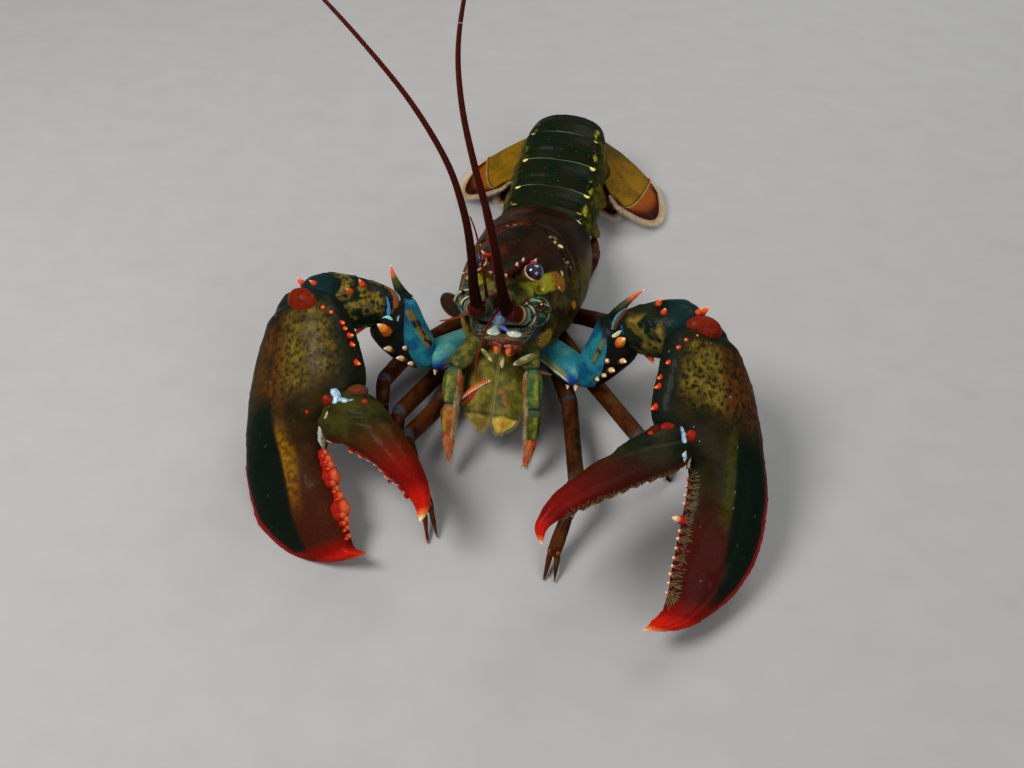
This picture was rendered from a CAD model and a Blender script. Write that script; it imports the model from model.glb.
# American lobster: shells, claws, eyes, bristles and colours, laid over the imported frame.
# Shapes are worked out in millimetres in the stance frame and written in metres in the row's frame.
# X runs to the animal's left, -Y is where it faces, and +Z is up from the floor.

import math
import random

import bpy
import numpy as np
from mathutils import Matrix, Vector


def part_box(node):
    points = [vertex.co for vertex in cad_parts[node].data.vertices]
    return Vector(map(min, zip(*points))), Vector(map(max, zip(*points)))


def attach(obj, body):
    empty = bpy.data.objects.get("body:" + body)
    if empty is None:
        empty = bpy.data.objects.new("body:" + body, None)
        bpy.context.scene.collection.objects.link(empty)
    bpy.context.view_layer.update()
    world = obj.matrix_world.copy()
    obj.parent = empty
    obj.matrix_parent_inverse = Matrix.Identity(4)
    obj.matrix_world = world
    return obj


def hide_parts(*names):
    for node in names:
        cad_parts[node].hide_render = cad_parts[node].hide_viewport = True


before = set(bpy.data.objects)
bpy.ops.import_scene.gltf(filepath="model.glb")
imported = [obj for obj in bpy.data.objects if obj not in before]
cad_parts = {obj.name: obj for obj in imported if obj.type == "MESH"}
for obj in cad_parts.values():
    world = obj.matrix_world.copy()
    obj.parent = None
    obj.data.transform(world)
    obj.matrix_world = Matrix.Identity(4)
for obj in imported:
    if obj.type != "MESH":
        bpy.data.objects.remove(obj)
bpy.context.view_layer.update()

# Metres in a millimetre, and half the size of a hair's patch on the baking map
UNIT = 0.001
PATCH = 0.0015

# Head shell
CARAPACE_LENGTH = 100.0
ORBIT_HEIGHT = 78.0
HEAD_PITCH = math.radians(27.7)

# Body axes: a place on the body is side x, distance s back from the eye sockets, height h
BACK = Vector((0.0, math.cos(HEAD_PITCH), -math.sin(HEAD_PITCH)))
RISE = Vector((0.0, math.sin(HEAD_PITCH), math.cos(HEAD_PITCH)))
SIDE = Vector((1.0, 0.0, 0.0))
ORBIT = Vector((0.0, 0.0, ORBIT_HEIGHT))

# Carapace: s, half width, top, widest level, bottom, lean of the foot of the section
CARAPACE = [
    (0.5, 19.5, 0.0, -24.0, -49.0, 4.0),
    (3.5, 22.0, 2.0, -26.0, -51.5, 3.0),
    (12.0, 25.5, 4.2, -28.0, -52.0, 1.0),
    (24.0, 28.5, 6.6, -30.0, -50.0, -5.0),
    (38.0, 31.0, 8.4, -30.0, -47.0, -12.0),
    (48.0, 32.3, 8.8, -29.0, -46.0, -18.0),
    (53.0, 31.8, 7.4, -29.0, -45.0, -20.0),
    (58.0, 33.2, 8.8, -28.0, -45.0, -19.0),
    (70.0, 34.5, 9.8, -26.0, -42.0, -11.0),
    (84.0, 33.5, 9.2, -22.0, -36.0, -4.0),
    (94.0, 31.0, 7.4, -17.0, -29.0, 0.0),
    (CARAPACE_LENGTH, 27.5, 5.5, -13.0, -23.0, 1.0),
]

# Rostrum: s, half width, thickness, height of its spine
ROSTRUM = [
    (22.0, 10.0, 6.0, 2.4),
    (8.0, 9.6, 6.0, 1.0),
    (-1.0, 7.8, 5.4, 0.4),
    (-10.0, 5.8, 4.4, 0.6),
    (-18.0, 3.8, 3.2, 1.4),
    (-24.0, 2.2, 2.0, 2.4),
    (-28.5, 0.0, 0.0, 3.4),
]

# Face between the antennae and the mouth: s, half width, top, bottom
FACE = [
    (9.0, 17.0, -5.0, -43.0),
    (2.0, 17.5, -4.5, -42.5),
    (-5.0, 16.5, -7.0, -41.5),
    (-10.5, 13.5, -11.5, -39.0),
    (-14.0, 9.0, -16.0, -35.0),
    (-15.5, 4.0, -21.0, -30.0),
]

# Breastplate between the legs: s, half width, lowest level
STERNUM = [
    (12.0, 7.0, -55.0),
    (26.0, 9.0, -54.0),
    (45.0, 11.0, -50.5),
    (62.0, 12.0, -46.5),
    (78.0, 12.5, -42.0),
    (90.0, 9.0, -36.5),
]

# Eyes
EYE_SIDE = 14.2
EYE_BACK = -4.0
EYE_LEVEL = 0.0
EYE_RADIUS = 4.8

# Tail: back line of the abdomen, as lengths and slopes (degrees) of its six rings
TAIL_START = (0.0, 87.0, 35.5)
TAIL_RINGS = [
    (8.0, 5.0),
    (16.0, 1.0),
    (19.5, 15.0),
    (19.5, 18.7),
    (22.0, -10.0),
    (27.0, -82.0),
]
TAIL_HALF_WIDTH = [25.0, 28.0, 28.5, 27.5, 25.5, 22.0, 17.0]
TAIL_HEIGHT = [24.0, 26.5, 26.5, 25.5, 23.0, 18.5, 13.5]
PLEURA_DROP = [0.0, 12.0, 13.0, 13.0, 13.0, 10.0, 0.0]
FAN_SLOPE = -156.0

# Fan blades: root, tip, side direction, half widths from root to tip, thickness and hollow
TELSON_WIDTHS = [9.0, 10.5, 10.5, 9.5, 8.0, 5.0]
INNER_WIDTHS = [4.0, 8.0, 10.0, 11.0, 10.0, 6.0]
OUTER_WIDTHS = [4.0, 11.0, 15.0, 17.0, 16.5, 11.0]
FAN = {
    "telson": ((0.0, 173.0, 16.0), (0.0, 134.0, 1.4), (1.0, 0.0, 0.0), TELSON_WIDTHS, 2.2, 0.0),
    "uropod_inner_left": ((10.0, 173.0, 19.0), (36.0, 130.0, 3.4), (1.0, 0.4, 0.0), INNER_WIDTHS, 1.6,
                          -0.6),
    "uropod_inner_right": ((-10.0, 173.0, 19.0), (-36.0, 128.0, 3.4), (-1.0, 0.4, 0.0), INNER_WIDTHS, 1.6,
                           -0.6),
    "uropod_outer_left": ((16.0, 174.0, 23.0), (61.0, 129.0, 4.0), (0.9, 0.9, -0.3), OUTER_WIDTHS, 1.6,
                          -1.0),
    "uropod_outer_right": ((-16.0, 174.0, 23.0), (-60.0, 130.0, 4.0), (-0.9, 0.9, -0.3), OUTER_WIDTHS, 1.6,
                           -1.0),
}

# Points along and across the surface of a blade
FAN_ROWS = 150
FAN_COLUMNS = 100

# Arms that carry the claws: hip, knee, elbow and wrist of each
CUTTER_ARM = [(15.0, 4.0, 20.0), (44.5, -23.0, 30.0), (60.5, -13.0, 59.5), (97.0, -16.0, 71.0)]
CRUSHER_ARM = [(-15.0, 4.0, 20.0), (-37.5, -27.5, 30.0), (-57.5, -18.5, 56.0), (-98.5, -29.5, 63.0)]

# Claws: wrist, finger tip, and the outward roll of the broad face towards the floor
CUTTER_WRIST = (99.3, -14.3, 72.0)
CUTTER_TIP = (98.1, -147.5, 15.5)
CUTTER_ROLL = 28.0
CRUSHER_WRIST = (-102.0, -29.5, 63.3)
CRUSHER_TIP = (-37.4, -136.2, 14.0)
CRUSHER_ROLL = 36.0
VIEW_POINT = (90.0, -336.0, 427.7)

# Claw outlines in millimetres: outer edge (along, across), inner edge (along, across), half thickness
CRUSHER_PALM = [
    ((-3.0, 7.0), (1.0, -12.0), 8.0),
    ((6.0, 17.5), (5.0, -18.5), 12.0),
    ((20.8, 30.6), (17.0, -22.8), 15.5),
    ((38.0, 41.0), (36.0, -24.0), 18.0),
    ((54.0, 48.8), (52.0, -22.6), 18.5),
    ((66.0, 53.5), (61.0, -16.0), 17.5),
    ((73.6, 56.3), (68.0, -2.0), 15.5),
    ((82.0, 57.8), (77.0, 10.8), 13.5),
    ((99.8, 58.3), (99.0, 8.4), 11.5),
    ((111.0, 53.0), (112.0, 8.2), 9.8),
    ((121.5, 43.5), (121.5, 8.8), 8.0),
    ((129.5, 29.5), (128.0, 8.4), 6.0),
    ((133.5, 15.4), (131.5, 5.6), 3.6),
    ((134.5, 0.0), (134.5, 0.0), 0.0),
]
CRUSHER_FINGER = [
    ((55.0, -15.0), (67.0, 6.0), 11.5),
    ((63.0, -23.5), (77.0, 3.0), 12.5),
    ((73.0, -29.5), (82.0, -5.0), 12.5),
    ((84.0, -33.8), (89.0, -13.0), 11.5),
    ((96.0, -37.5), (97.5, -20.0), 10.0),
    ((108.0, -40.6), (106.0, -25.8), 8.2),
    ((118.0, -42.4), (115.5, -29.3), 6.2),
    ((126.0, -40.2), (124.0, -31.2), 3.8),
    ((130.5, -32.5), (130.5, -32.5), 0.0),
]
CUTTER_PALM = [
    ((-3.0, 6.0), (0.0, -10.0), 7.0),
    ((6.0, 16.5), (5.0, -15.0), 10.0),
    ((17.0, 26.0), (16.0, -17.3), 12.0),
    ((32.0, 34.0), (32.0, -18.0), 13.0),
    ((45.0, 39.5), (45.0, -18.0), 13.0),
    ((55.0, 42.7), (53.0, -14.5), 12.5),
    ((65.0, 46.0), (61.0, -3.5), 11.5),
    ((75.0, 48.2), (69.0, 6.0), 10.3),
    ((90.0, 49.0), (90.0, 7.2), 9.0),
    ((104.0, 46.6), (107.0, 6.6), 7.8),
    ((117.0, 40.6), (119.0, 6.0), 6.6),
    ((128.0, 32.0), (129.0, 5.6), 5.5),
    ((137.0, 21.0), (136.0, 4.2), 4.2),
    ((142.5, 9.0), (140.5, 1.2), 2.8),
    ((145.0, -3.5), (145.0, -3.5), 0.0),
]
CUTTER_FINGER = [
    ((46.0, -9.0), (61.0, 6.0), 8.5),
    ((55.5, -17.5), (71.0, 0.0), 9.5),
    ((65.5, -28.5), (78.0, -11.5), 9.0),
    ((76.5, -39.5), (86.0, -24.0), 8.2),
    ((86.5, -49.0), (94.0, -35.5), 7.2),
    ((96.0, -57.0), (101.5, -46.0), 6.0),
    ((105.0, -62.0), (108.0, -53.5), 4.8),
    ((113.0, -63.3), (113.5, -57.5), 3.2),
    ((119.5, -58.5), (119.5, -58.5), 0.0),
]

# Teeth of the claws: place along and across, radius, height, and whether pointed
CLAW_TEETH = {
    "crusher_palm": [
        (80.5, 10.2, 1.8, 2.2, False), (84.0, 9.6, 2.0, 3.0, False), (87.5, 9.2, 2.2, 3.2, False),
        (93.3, 9.0, 3.4, 4.2, False), (99.5, 8.8, 1.8, 2.4, False), (103.6, 8.4, 2.1, 3.0, False),
        (109.6, 8.2, 3.6, 4.4, False), (115.2, 8.4, 2.0, 2.8, False), (119.4, 8.6, 1.3, 1.8, False),
        (123.5, 8.8, 1.2, 1.6, False),
    ],
    "crusher_finger": [
        (84.5, -7.2, 2.0, 2.6, False), (88.5, -12.0, 2.5, 3.0, False), (92.4, -15.3, 1.7, 2.2, False),
        (95.6, -18.2, 1.6, 2.2, False), (99.0, -20.8, 1.9, 2.6, False), (103.2, -23.6, 2.5, 3.4, False),
        (107.6, -26.2, 1.8, 2.4, False), (112.0, -28.0, 1.6, 2.0, False), (116.6, -29.4, 1.3, 1.8, False),
    ],
    "cutter_palm": [
        (73.8, 6.2, 1.1, 1.6, True), (77.0, 6.5, 1.3, 1.9, True), (81.4, 6.8, 1.3, 1.9, True),
        (85.2, 7.0, 1.2, 1.8, True), (93.0, 7.0, 2.4, 6.0, True), (98.0, 7.0, 1.2, 1.8, True),
        (101.6, 6.9, 1.3, 2.0, True), (106.0, 6.7, 1.2, 1.8, True), (110.6, 6.5, 1.3, 2.0, True),
        (114.3, 6.3, 1.1, 1.6, True), (118.0, 6.1, 1.3, 2.0, True), (122.0, 6.0, 1.1, 1.8, True),
        (126.4, 5.8, 1.2, 1.7, True),
    ],
    "cutter_finger": [
        (75.0, -6.8, 1.2, 1.8, True), (79.0, -13.2, 1.3, 1.9, True), (83.0, -19.4, 1.2, 1.8, True),
        (87.0, -25.4, 1.3, 2.0, True), (91.0, -31.2, 1.2, 1.8, True), (95.0, -37.0, 1.2, 1.8, True),
        (99.0, -42.6, 1.2, 1.8, True), (103.0, -47.8, 1.1, 1.6, True),
    ],
}
TEETH_WAY = {"palm": (0.0, -1.0), "crusher_finger": (0.62, 0.78), "cutter_finger": (0.83, 0.56)}

# Spines of the palms: place along and across, lift out of the face, length, lean and rise
PALM_SPINES = {
    "cutter": [
        (9.0, -6.5, 8.6, 2.6, 20, 1.5), (12.2, -11.0, 7.4, 3.0, 20, 1.0), (16.5, -13.5, 6.4, 3.2, 20, 0.8),
        (24.0, -15.8, 4.0, 3.4, 25, 0.5), (31.0, -17.0, 1.5, 3.6, 30, 0.3), (35.5, -17.2, 1.5, 4.0, 30,
                                                                             0.3),
        (45.5, -17.2, 1.5, 4.2, 35, 0.3),
    ],
    "crusher": [
        (15.6, -18.0, 8.6, 2.8, 20, 1.2), (19.0, -20.4, 6.6, 2.8, 20, 1.0), (25.0, -22.4, 3.4, 3.2, 25,
                                                                             0.4),
        (28.2, -22.8, 3.0, 3.0, 25, 0.4), (32.0, -23.2, 1.5, 4.2, 20, 0.3), (36.8, -23.4, 1.5, 3.2, 30,
                                                                             0.3),
        (46.2, -23.0, 1.5, 4.2, 35, 0.3),
    ],
}

# Walking legs: hip, joint after the second piece, knee, ankle and toe
LEGS = {
    "leg_1_left": [(15.0, 14.0, 16.0), (38.5, -30.0, 15.0), (53.0, -85.0, 22.0),
                   (50.5, -99.0, 15.0), (45.5, -126.0, 0.8)],
    "leg_1_right": [(-15.0, 14.0, 16.0), (-26.5, -43.0, 14.0), (-36.0, -76.0, 24.0),
                    (-29.0, -87.0, 17.0), (-10.0, -116.0, 0.8)],
    "leg_2_left": [(16.0, 25.0, 13.0), (46.0, -14.0, 18.0), (79.0, -52.0, 24.0),
                   (86.0, -54.0, 14.0), (97.0, -58.0, 0.8)],
    "leg_2_right": [(-16.0, 25.0, 13.0), (-37.0, -29.0, 12.0), (-45.0, -61.0, 22.0),
                    (-43.5, -71.0, 14.0), (-39.0, -88.0, 0.8)],
    "leg_3_left": [(17.0, 36.0, 10.5), (44.0, 29.0, 15.0), (68.0, 21.0, 24.0),
                   (78.0, 21.0, 17.0), (94.0, 26.0, 0.8)],
    "leg_3_right": [(-17.0, 36.0, 10.5), (-54.0, -14.0, 14.0), (-59.0, -42.0, 22.0),
                    (-57.0, -52.0, 15.0), (-52.0, -67.0, 0.8)],
    "leg_4_left": [(17.0, 47.0, 8.5), (27.0, 66.0, 6.5), (31.0, 84.0, 8.0),
                   (30.0, 94.0, 5.5), (27.0, 109.0, 0.8)],
    "leg_4_right": [(-17.0, 47.0, 8.5), (-28.0, 68.0, 6.5), (-35.0, 88.0, 8.5),
                    (-36.0, 98.0, 6.0), (-34.0, 113.0, 0.8)],
}
LEG_RADIUS = [5.2, 4.5, 4.2, 3.5, 3.3, 1.0]

# Antennae: points along each whip, and its radius at the root and the tip
ANTENNA_LEFT = [(6.0, -25.0, 72.0), (4.0, -27.0, 90.0), (2.0, -26.0, 110.0), (-2.5, -21.0, 130.0),
                (-9.5, -13.0, 150.0), (-16.5, -2.0, 170.0), (-20.5, 10.0, 188.0), (-20.5, 22.0, 204.0),
                (-18.0, 38.0, 222.0), (-13.0, 57.0, 239.0), (-6.0, 79.0, 253.0)]
ANTENNA_RIGHT = [(-9.5, -25.0, 72.0), (-9.8, -27.0, 90.0), (-10.0, -26.0, 110.0), (-13.5, -21.0, 130.0),
                 (-22.0, -13.0, 150.0), (-39.0, -2.0, 170.0), (-61.5, 10.0, 188.0), (-87.0, 24.0, 203.0),
                 (-114.0, 40.0, 214.0), (-138.0, 57.0, 220.0)]
WHIP_ROOT = 2.2
WHIP_TIP = 0.65
WHIP_TAPER = 1.5

# Arm pieces: upward direction, sides, and sections as fraction, half width and half height
ARM_PIECES = {
    "ischium": ((0.0, 0.0, 1.0), 12, [(-0.15, 7.0, 7.0), (0.3, 7.2, 7.0), (0.77, 8.2, 7.6),
                                      (0.96, 6.8, 6.4), (1.04, 4.0, 4.0)]),
    "merus": ((0.0, -0.5, 1.0), 14, [(-0.1, 6.0, 5.0), (0.12, 8.2, 7.2), (0.55, 10.5, 9.2),
                                     (0.86, 12.2, 10.2), (1.0, 9.5, 8.5), (1.06, 5.0, 4.5)]),
    "carpus": ((0.0, -0.6, 1.0), 14, [(-0.12, 5.5, 5.0), (0.08, 9.5, 8.5), (0.4, 13.2, 12.0),
                                      (0.75, 14.5, 12.8), (0.97, 11.5, 10.5), (1.06, 6.5, 6.0)]),
}

ARM_ORDER = list(ARM_PIECES)

# How far the lower edge of each arm hangs below its joints, for its two inner pieces
ARM_DROP = {"cutter": (2.0, 3.2), "crusher": (3.0, 7.0)}

# Spines of the arms: place along the piece (0 to 1), degrees round it, length and forward lean in degrees
ARM_SPINES = {
    "cutter_ischium": [(0.95, -30, 3.0, 30), (0.67, -36, 2.4, 30)],
    "cutter_merus": [(0.75, 60, 6.0, 55), (0.44, 66, 2.6, 30), (0.52, 36, 4.5, 35), (0.38, 42, 4.5, 35),
                     (0.31, 44, 3.0, 30), (0.25, 48, 2.4, 30)],
    "cutter_carpus": [(0.48, 138, 4.5, 25), (0.54, 114, 4.0, 25), (0.91, 138, 5.0, 45),
                      (0.96, 170, 5.5, 50),
                      (0.40, -6, 4.5, 30)],
    "crusher_ischium": [(0.85, -132, 3.0, 30), (0.60, -138, 2.4, 30)],
    "crusher_merus": [(0.58, 120, 6.0, 55), (0.38, 138, 5.0, 35), (0.27, 138, 5.0, 35),
                      (0.20, 132, 3.4, 30),
                      (0.33, 108, 2.5, 30)],
    "crusher_carpus": [(0.37, 54, 4.5, 25), (0.45, 78, 4.5, 25), (0.74, 60, 3.5, 45), (0.96, 14, 5.0, 50),
                       (0.37, -168, 4.5, 30)],
}

# Long curved horn at the outer end of each merus: root, middle and tip
ARM_HORNS = {
    "cutter_merus": [(55.0, -8.5, 60.5), (61.0, -4.5, 69.5), (68.7, 0.3, 75.7)],
    "crusher_merus": [(-52.5, -13.5, 60.0), (-57.0, -10.0, 66.0), (-60.5, -4.5, 71.0)],
}

# Spines of the head shell on one side: root, tip and root radius, as side, distance back and height
HEAD_SPINES = [
    ((2.6, -18.4, 1.0), (4.2, -22.5, 3.4), 1.2),
    ((5.0, -3.6, 0.8), (6.2, -7.4, 5.2), 1.2),
    ((6.6, 4.0, 0.9), (7.8, 0.0, 5.6), 1.1),
    ((12.0, 6.0, 1.5), (14.0, 0.6, 5.8), 1.2),
    ((17.6, 3.0, -9.4), (19.8, -4.0, -8.6), 2.0),
    ((23.4, 14.6, -11.6), (26.0, 11.6, -11.4), 0.9),
]


def body(x, s, h):
    """place on the body, from its side, distance back and height"""
    return ORBIT + SIDE * x + BACK * s + RISE * h


def blend(a, b, t):
    """place or number part of the way from a to b"""
    return a + (b - a) * t


def station(centre, side, top, bottom=None):
    """a cross-section: its centre and its reaches to the side, up and down"""
    return (centre, side, top, -top if bottom is None else bottom)


def spline_weights(t):
    """weights of four neighbours on a smooth curve between the middle two"""
    return (
        -0.5 * t ** 3 + t ** 2 - 0.5 * t,
        1.5 * t ** 3 - 2.5 * t ** 2 + 1.0,
        -1.5 * t ** 3 + 2.0 * t ** 2 + 0.5 * t,
        0.5 * t ** 3 - 0.5 * t ** 2,
    )


def refine(stations, steps):
    """more cross-sections on a smooth curve through the given ones"""
    last = len(stations) - 1
    fine = []
    for k in range(last):
        four = [stations[min(max(k + j, 0), last)] for j in (-1, 0, 1, 2)]
        for step in range(steps):
            weights = spline_weights(step / steps)
            fine.append(tuple(sum((w * s[i] for w, s in zip(weights, four)), Vector()) for i in range(4)))
    fine.append(stations[last])
    return fine


def frame_between(a, b, up):
    """unit axes along a limb, across it and above it"""
    along = (b - a).normalized()
    across = along.cross(up).normalized()
    above = across.cross(along).normalized()
    return along, across, above


def limb_stations(a, b, up, sections):
    """cross-sections from a to b: sections give fraction, half width, half height"""
    along, across, above = frame_between(a, b, Vector(up))
    length = (b - a).length
    return [station(a + along * (length * f), across * w, above * h) for f, w, h in sections]


def tail_joints():
    """back-line points and slopes of the joint planes, from the thorax to the fan"""
    point = Vector(TAIL_START)
    points = [point]
    slopes = []
    for length, slope in TAIL_RINGS:
        angle = math.radians(slope)
        point = point + Vector((0.0, math.cos(angle), math.sin(angle))) * length
        points.append(point)
        slopes.append(slope)
    ends = slopes + [FAN_SLOPE]
    planes = [slopes[0]] + [0.5 * (a + b) for a, b in zip(ends, ends[1:])]
    return points, [math.radians(p) for p in planes], [math.radians(s) for s in slopes]


def tail_section(point, slope, half, height):
    """D-shaped cross-section hung from a back-line point"""
    up = Vector((0.0, -math.sin(slope), math.cos(slope)))
    centre = point - up * (height * 0.6)
    return station(centre, SIDE * half, up * (height * 0.6), up * (-height * 0.4))


def claw_axes(wrist, tip, roll, outward):
    """origin and axes of a claw: along it, across to its outer edge, out of its broad face"""
    wrist = Vector(wrist)
    tip = Vector(tip)
    along = (tip - wrist).normalized()
    view = Vector(VIEW_POINT) - blend(wrist, tip, 0.5)
    face = (view - along * view.dot(along)).normalized()
    across = along.cross(face).normalized()
    if across.x * outward < 0.0:
        across = -across
    turn = math.radians(roll)
    out = across * math.cos(turn) - face * math.sin(turn)
    normal = face * math.cos(turn) + across * math.sin(turn)
    return wrist, along, out, normal


def claw_stations(axes, outline):
    """cross-sections over paired points of an outer and an inner edge"""
    origin, along, out, normal = axes
    stations = []
    for outer, inner, thick in outline:
        a = origin + along * outer[0] + out * outer[1]
        b = origin + along * inner[0] + out * inner[1]
        stations.append(station((a + b) * 0.5, (a - b) * 0.5, normal * thick))
    return stations


def claw_point(axes, along, across, out=0.0):
    """place on a claw, from its distances along, across and out"""
    origin, a, b, n = axes
    return origin + a * along + b * across + n * out


def arm_stations(word, kind, arm):
    """cross-sections of one arm piece between its two joints, with its lower edge let down"""
    first = ARM_ORDER.index(kind)
    up, _, sections = ARM_PIECES[kind]
    stations = limb_stations(Vector(arm[first]), Vector(arm[first + 1]), up, sections)
    if kind == "carpus":
        return stations
    drop = ARM_DROP[word][first]
    low = []
    for (centre, side, top, bottom), (t, _, _) in zip(stations, sections):
        hang = 0.5 * drop * (math.sin(math.pi * min(max(t, 0.0), 1.0)) ** 0.5 if kind == "merus" else 1.0)
        way = side.normalized()
        if way.y > 0.0:
            way = -way
        low.append(station(centre + way * hang, side * (1.0 + hang / side.length), top, bottom))
    return low


def whip_point(points, t):
    """place on the smooth curve through the points"""
    last = len(points) - 1
    place = min(max(t, 0.0), 1.0) * last
    k = min(int(place), last - 1)
    four = [Vector(points[min(max(k + j, 0), last)]) for j in (-1, 0, 1, 2)]
    return sum((w * p for w, p in zip(spline_weights(place - k), four)), Vector())


CUTTER_AXES = claw_axes(CUTTER_WRIST, CUTTER_TIP, CUTTER_ROLL, 1.0)
CRUSHER_AXES = claw_axes(CRUSHER_WRIST, CRUSHER_TIP, CRUSHER_ROLL, -1.0)


# Place of the stance frame in the row's frame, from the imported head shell
LOW, HIGH = (Vector(corner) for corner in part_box("carapace"))
SNOUT = body(0.0, *ROSTRUM[-1][0:4:3])
OFFSET = Vector((500.0 * (LOW.x + HIGH.x), 1000.0 * LOW.y - SNOUT.y, 0.0))


# Numbers over many points at once

def vec(v):
    """three numbers as an array"""
    return np.array((v[0], v[1], v[2]), dtype=float)


def smooth(low, high, x):
    """0 below low, 1 above high and a soft step between"""
    t = np.clip((np.asarray(x, dtype=float) - low) / (high - low), 0.0, 1.0)
    return t * t * (3.0 - 2.0 * t)


def window(x, a, b, c, d):
    """1 from b to c, and 0 before a and after d"""
    return smooth(a, b, x) * smooth(d, c, x)


def bell(centre, width, x):
    """1 at the centre, falling off over the width"""
    return np.exp(-((np.asarray(x, dtype=float) - centre) / width) ** 2)


def colour(r, g, b):
    """display colour, 0 to 255, as linear light"""
    values = np.array((r, g, b), dtype=float) / 255.0
    return np.where(values <= 0.04045, values / 12.92, ((values + 0.055) / 1.055) ** 2.4)


def mix(a, b, t):
    """colours a and b mixed by t at each point"""
    a = np.asarray(a, dtype=float)
    b = np.asarray(b, dtype=float)
    return a + (b - a) * np.asarray(t, dtype=float)[..., None]


def lattice(i, j, k):
    """fixed random number for each whole place"""
    n = (i * 374761393 + j * 668265263 + k * 1274126177) & 0xFFFFFFFF
    n = ((n ^ (n >> 13)) * 1103515245) & 0xFFFFFFFF
    n = ((n ^ (n >> 16)) * 668265263) & 0xFFFFFFFF
    return ((n >> 8) & 0xFFFF) / 65535.0


def cloud(points, size, seed=0):
    """smooth random field from -1 to 1 with lumps of the given size in millimetres"""
    q = np.asarray(points, dtype=float) / size + 31.7 * (seed + 1)
    i = np.floor(q).astype(np.int64)
    f = q - i
    f = f * f * (3.0 - 2.0 * f)
    total = np.zeros(q.shape[:-1])
    for a in (0, 1):
        for b in (0, 1):
            for c in (0, 1):
                wa = f[..., 0] if a else 1.0 - f[..., 0]
                wb = f[..., 1] if b else 1.0 - f[..., 1]
                wc = f[..., 2] if c else 1.0 - f[..., 2]
                total += wa * wb * wc * lattice(i[..., 0] + a, i[..., 1] + b, i[..., 2] + c)
    return 2.0 * total - 1.0


def clouds(points, size, octaves=3, seed=0):
    """smooth random field with finer lumps added to the coarse ones"""
    total = 0.0
    weight = 1.0
    whole = 0.0
    for k in range(octaves):
        total = total + weight * cloud(points, size / 2.0 ** k, seed + 7 * k)
        whole += weight
        weight *= 0.55
    return total / whole


def mottled(points, low, high, size, octaves, seed, start=-0.3, end=0.4):
    """two display colours mixed in soft lumps of a size"""
    return mix(colour(*low), colour(*high), smooth(start, end, clouds(points, size, octaves, seed)))


def spread(values, shape):
    """numbers repeated to fill a shape"""
    return np.broadcast_to(np.asarray(values, dtype=float), shape)


def circle(sides):
    """angles of points spaced evenly round a ring"""
    return 2.0 * np.pi * np.arange(sides) / sides


def turned(angles, across, above):
    """places on a ring with the given reaches to the side and up"""
    return np.cos(angles)[:, None] * across + np.sin(angles)[:, None] * above


def swept(points, places, radii, up, flat, sides, step):
    """grid of rings along a smooth curve, at places from 0 to 1 on it"""
    grid = np.zeros((len(places), sides, 3))
    angles = circle(sides)
    for k, t in enumerate(places):
        ahead = (whip_point(points, min(t + step, 1.0)) - whip_point(points,
                                                                     max(t - step, 0.0))).normalized()
        across = ahead.cross(up).normalized()
        above = across.cross(ahead).normalized()
        ring = np.cos(angles)[:, None] * vec(across) + flat * np.sin(angles)[:, None] * vec(above)
        grid[k] = vec(whip_point(points, t)) + radii[k] * ring
    return grid


def end_middles(grid):
    """middles of the first and last ring"""
    return grid[0].mean(axis=0), grid[-1].mean(axis=0)


def cells(points, size, seed=0):
    """distance to the nearest scattered point, in units of size, and that point's random number"""
    q = np.asarray(points, dtype=float) / size + 17.3 * (seed + 1)
    i = np.floor(q).astype(np.int64)
    best = np.full(q.shape[:-1], 9.0)
    value = np.zeros(q.shape[:-1])
    for a in (-1, 0, 1):
        for b in (-1, 0, 1):
            for c in (-1, 0, 1):
                x, y, z = i[..., 0] + a, i[..., 1] + b, i[..., 2] + c
                dx = x + 0.15 + 0.7 * lattice(x, y, z) - q[..., 0]
                dy = y + 0.15 + 0.7 * lattice(x + 71, y, z) - q[..., 1]
                dz = z + 0.15 + 0.7 * lattice(x, y + 53, z) - q[..., 2]
                d = np.sqrt(dx * dx + dy * dy + dz * dz)
                near = d < best
                best = np.where(near, d, best)
                value = np.where(near, lattice(x, y, z + 97), value)
    return best, value


# Grids of points

def rings(stations, sides, steps, power=2.0, low_power=None):
    """grid of points round a form: one row for each cross-section; and the two end points"""
    low_power = power if low_power is None else low_power
    fine = refine(stations, steps)
    table = np.array([[vec(part) for part in one] for one in fine])
    angles = circle(sides)
    c = np.cos(angles)
    s = np.sin(angles)
    powers = np.where(s >= 0.0, 2.0 / power, 2.0 / low_power)
    across = np.sign(c) * np.abs(c) ** powers
    rise = np.abs(s) ** powers
    reach = np.where((s >= 0.0)[None, :, None], table[:, 2][:, None, :], table[:, 3][:, None, :])
    grid = table[:, 0][:, None, :] + table[:, 1][:, None, :] * across[None, :, None]
    grid = grid + reach * rise[None, :, None]
    return grid[np.linalg.norm(table[:, 1], axis=1) > 1e-6], (table[0, 0], table[-1, 0])


def run_of(line):
    """length along a line of points up to each of them"""
    return np.concatenate(([0.0], np.cumsum(np.linalg.norm(np.diff(line, axis=0), axis=1))))


def even_rows(grid, spacing):
    """the grid with its rows spaced evenly along its length"""
    middles = grid.mean(axis=1)
    lengths = run_of(middles)
    count = max(int(lengths[-1] / spacing), 4)
    places = np.linspace(0.0, lengths[-1], count + 1)
    index = np.clip(np.searchsorted(lengths, places, side="right") - 1, 0, len(lengths) - 2)
    t = (places - lengths[index]) / np.maximum(lengths[index + 1] - lengths[index], 1e-9)
    return grid[index] * (1.0 - t)[:, None, None] + grid[index + 1] * t[:, None, None]


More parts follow.
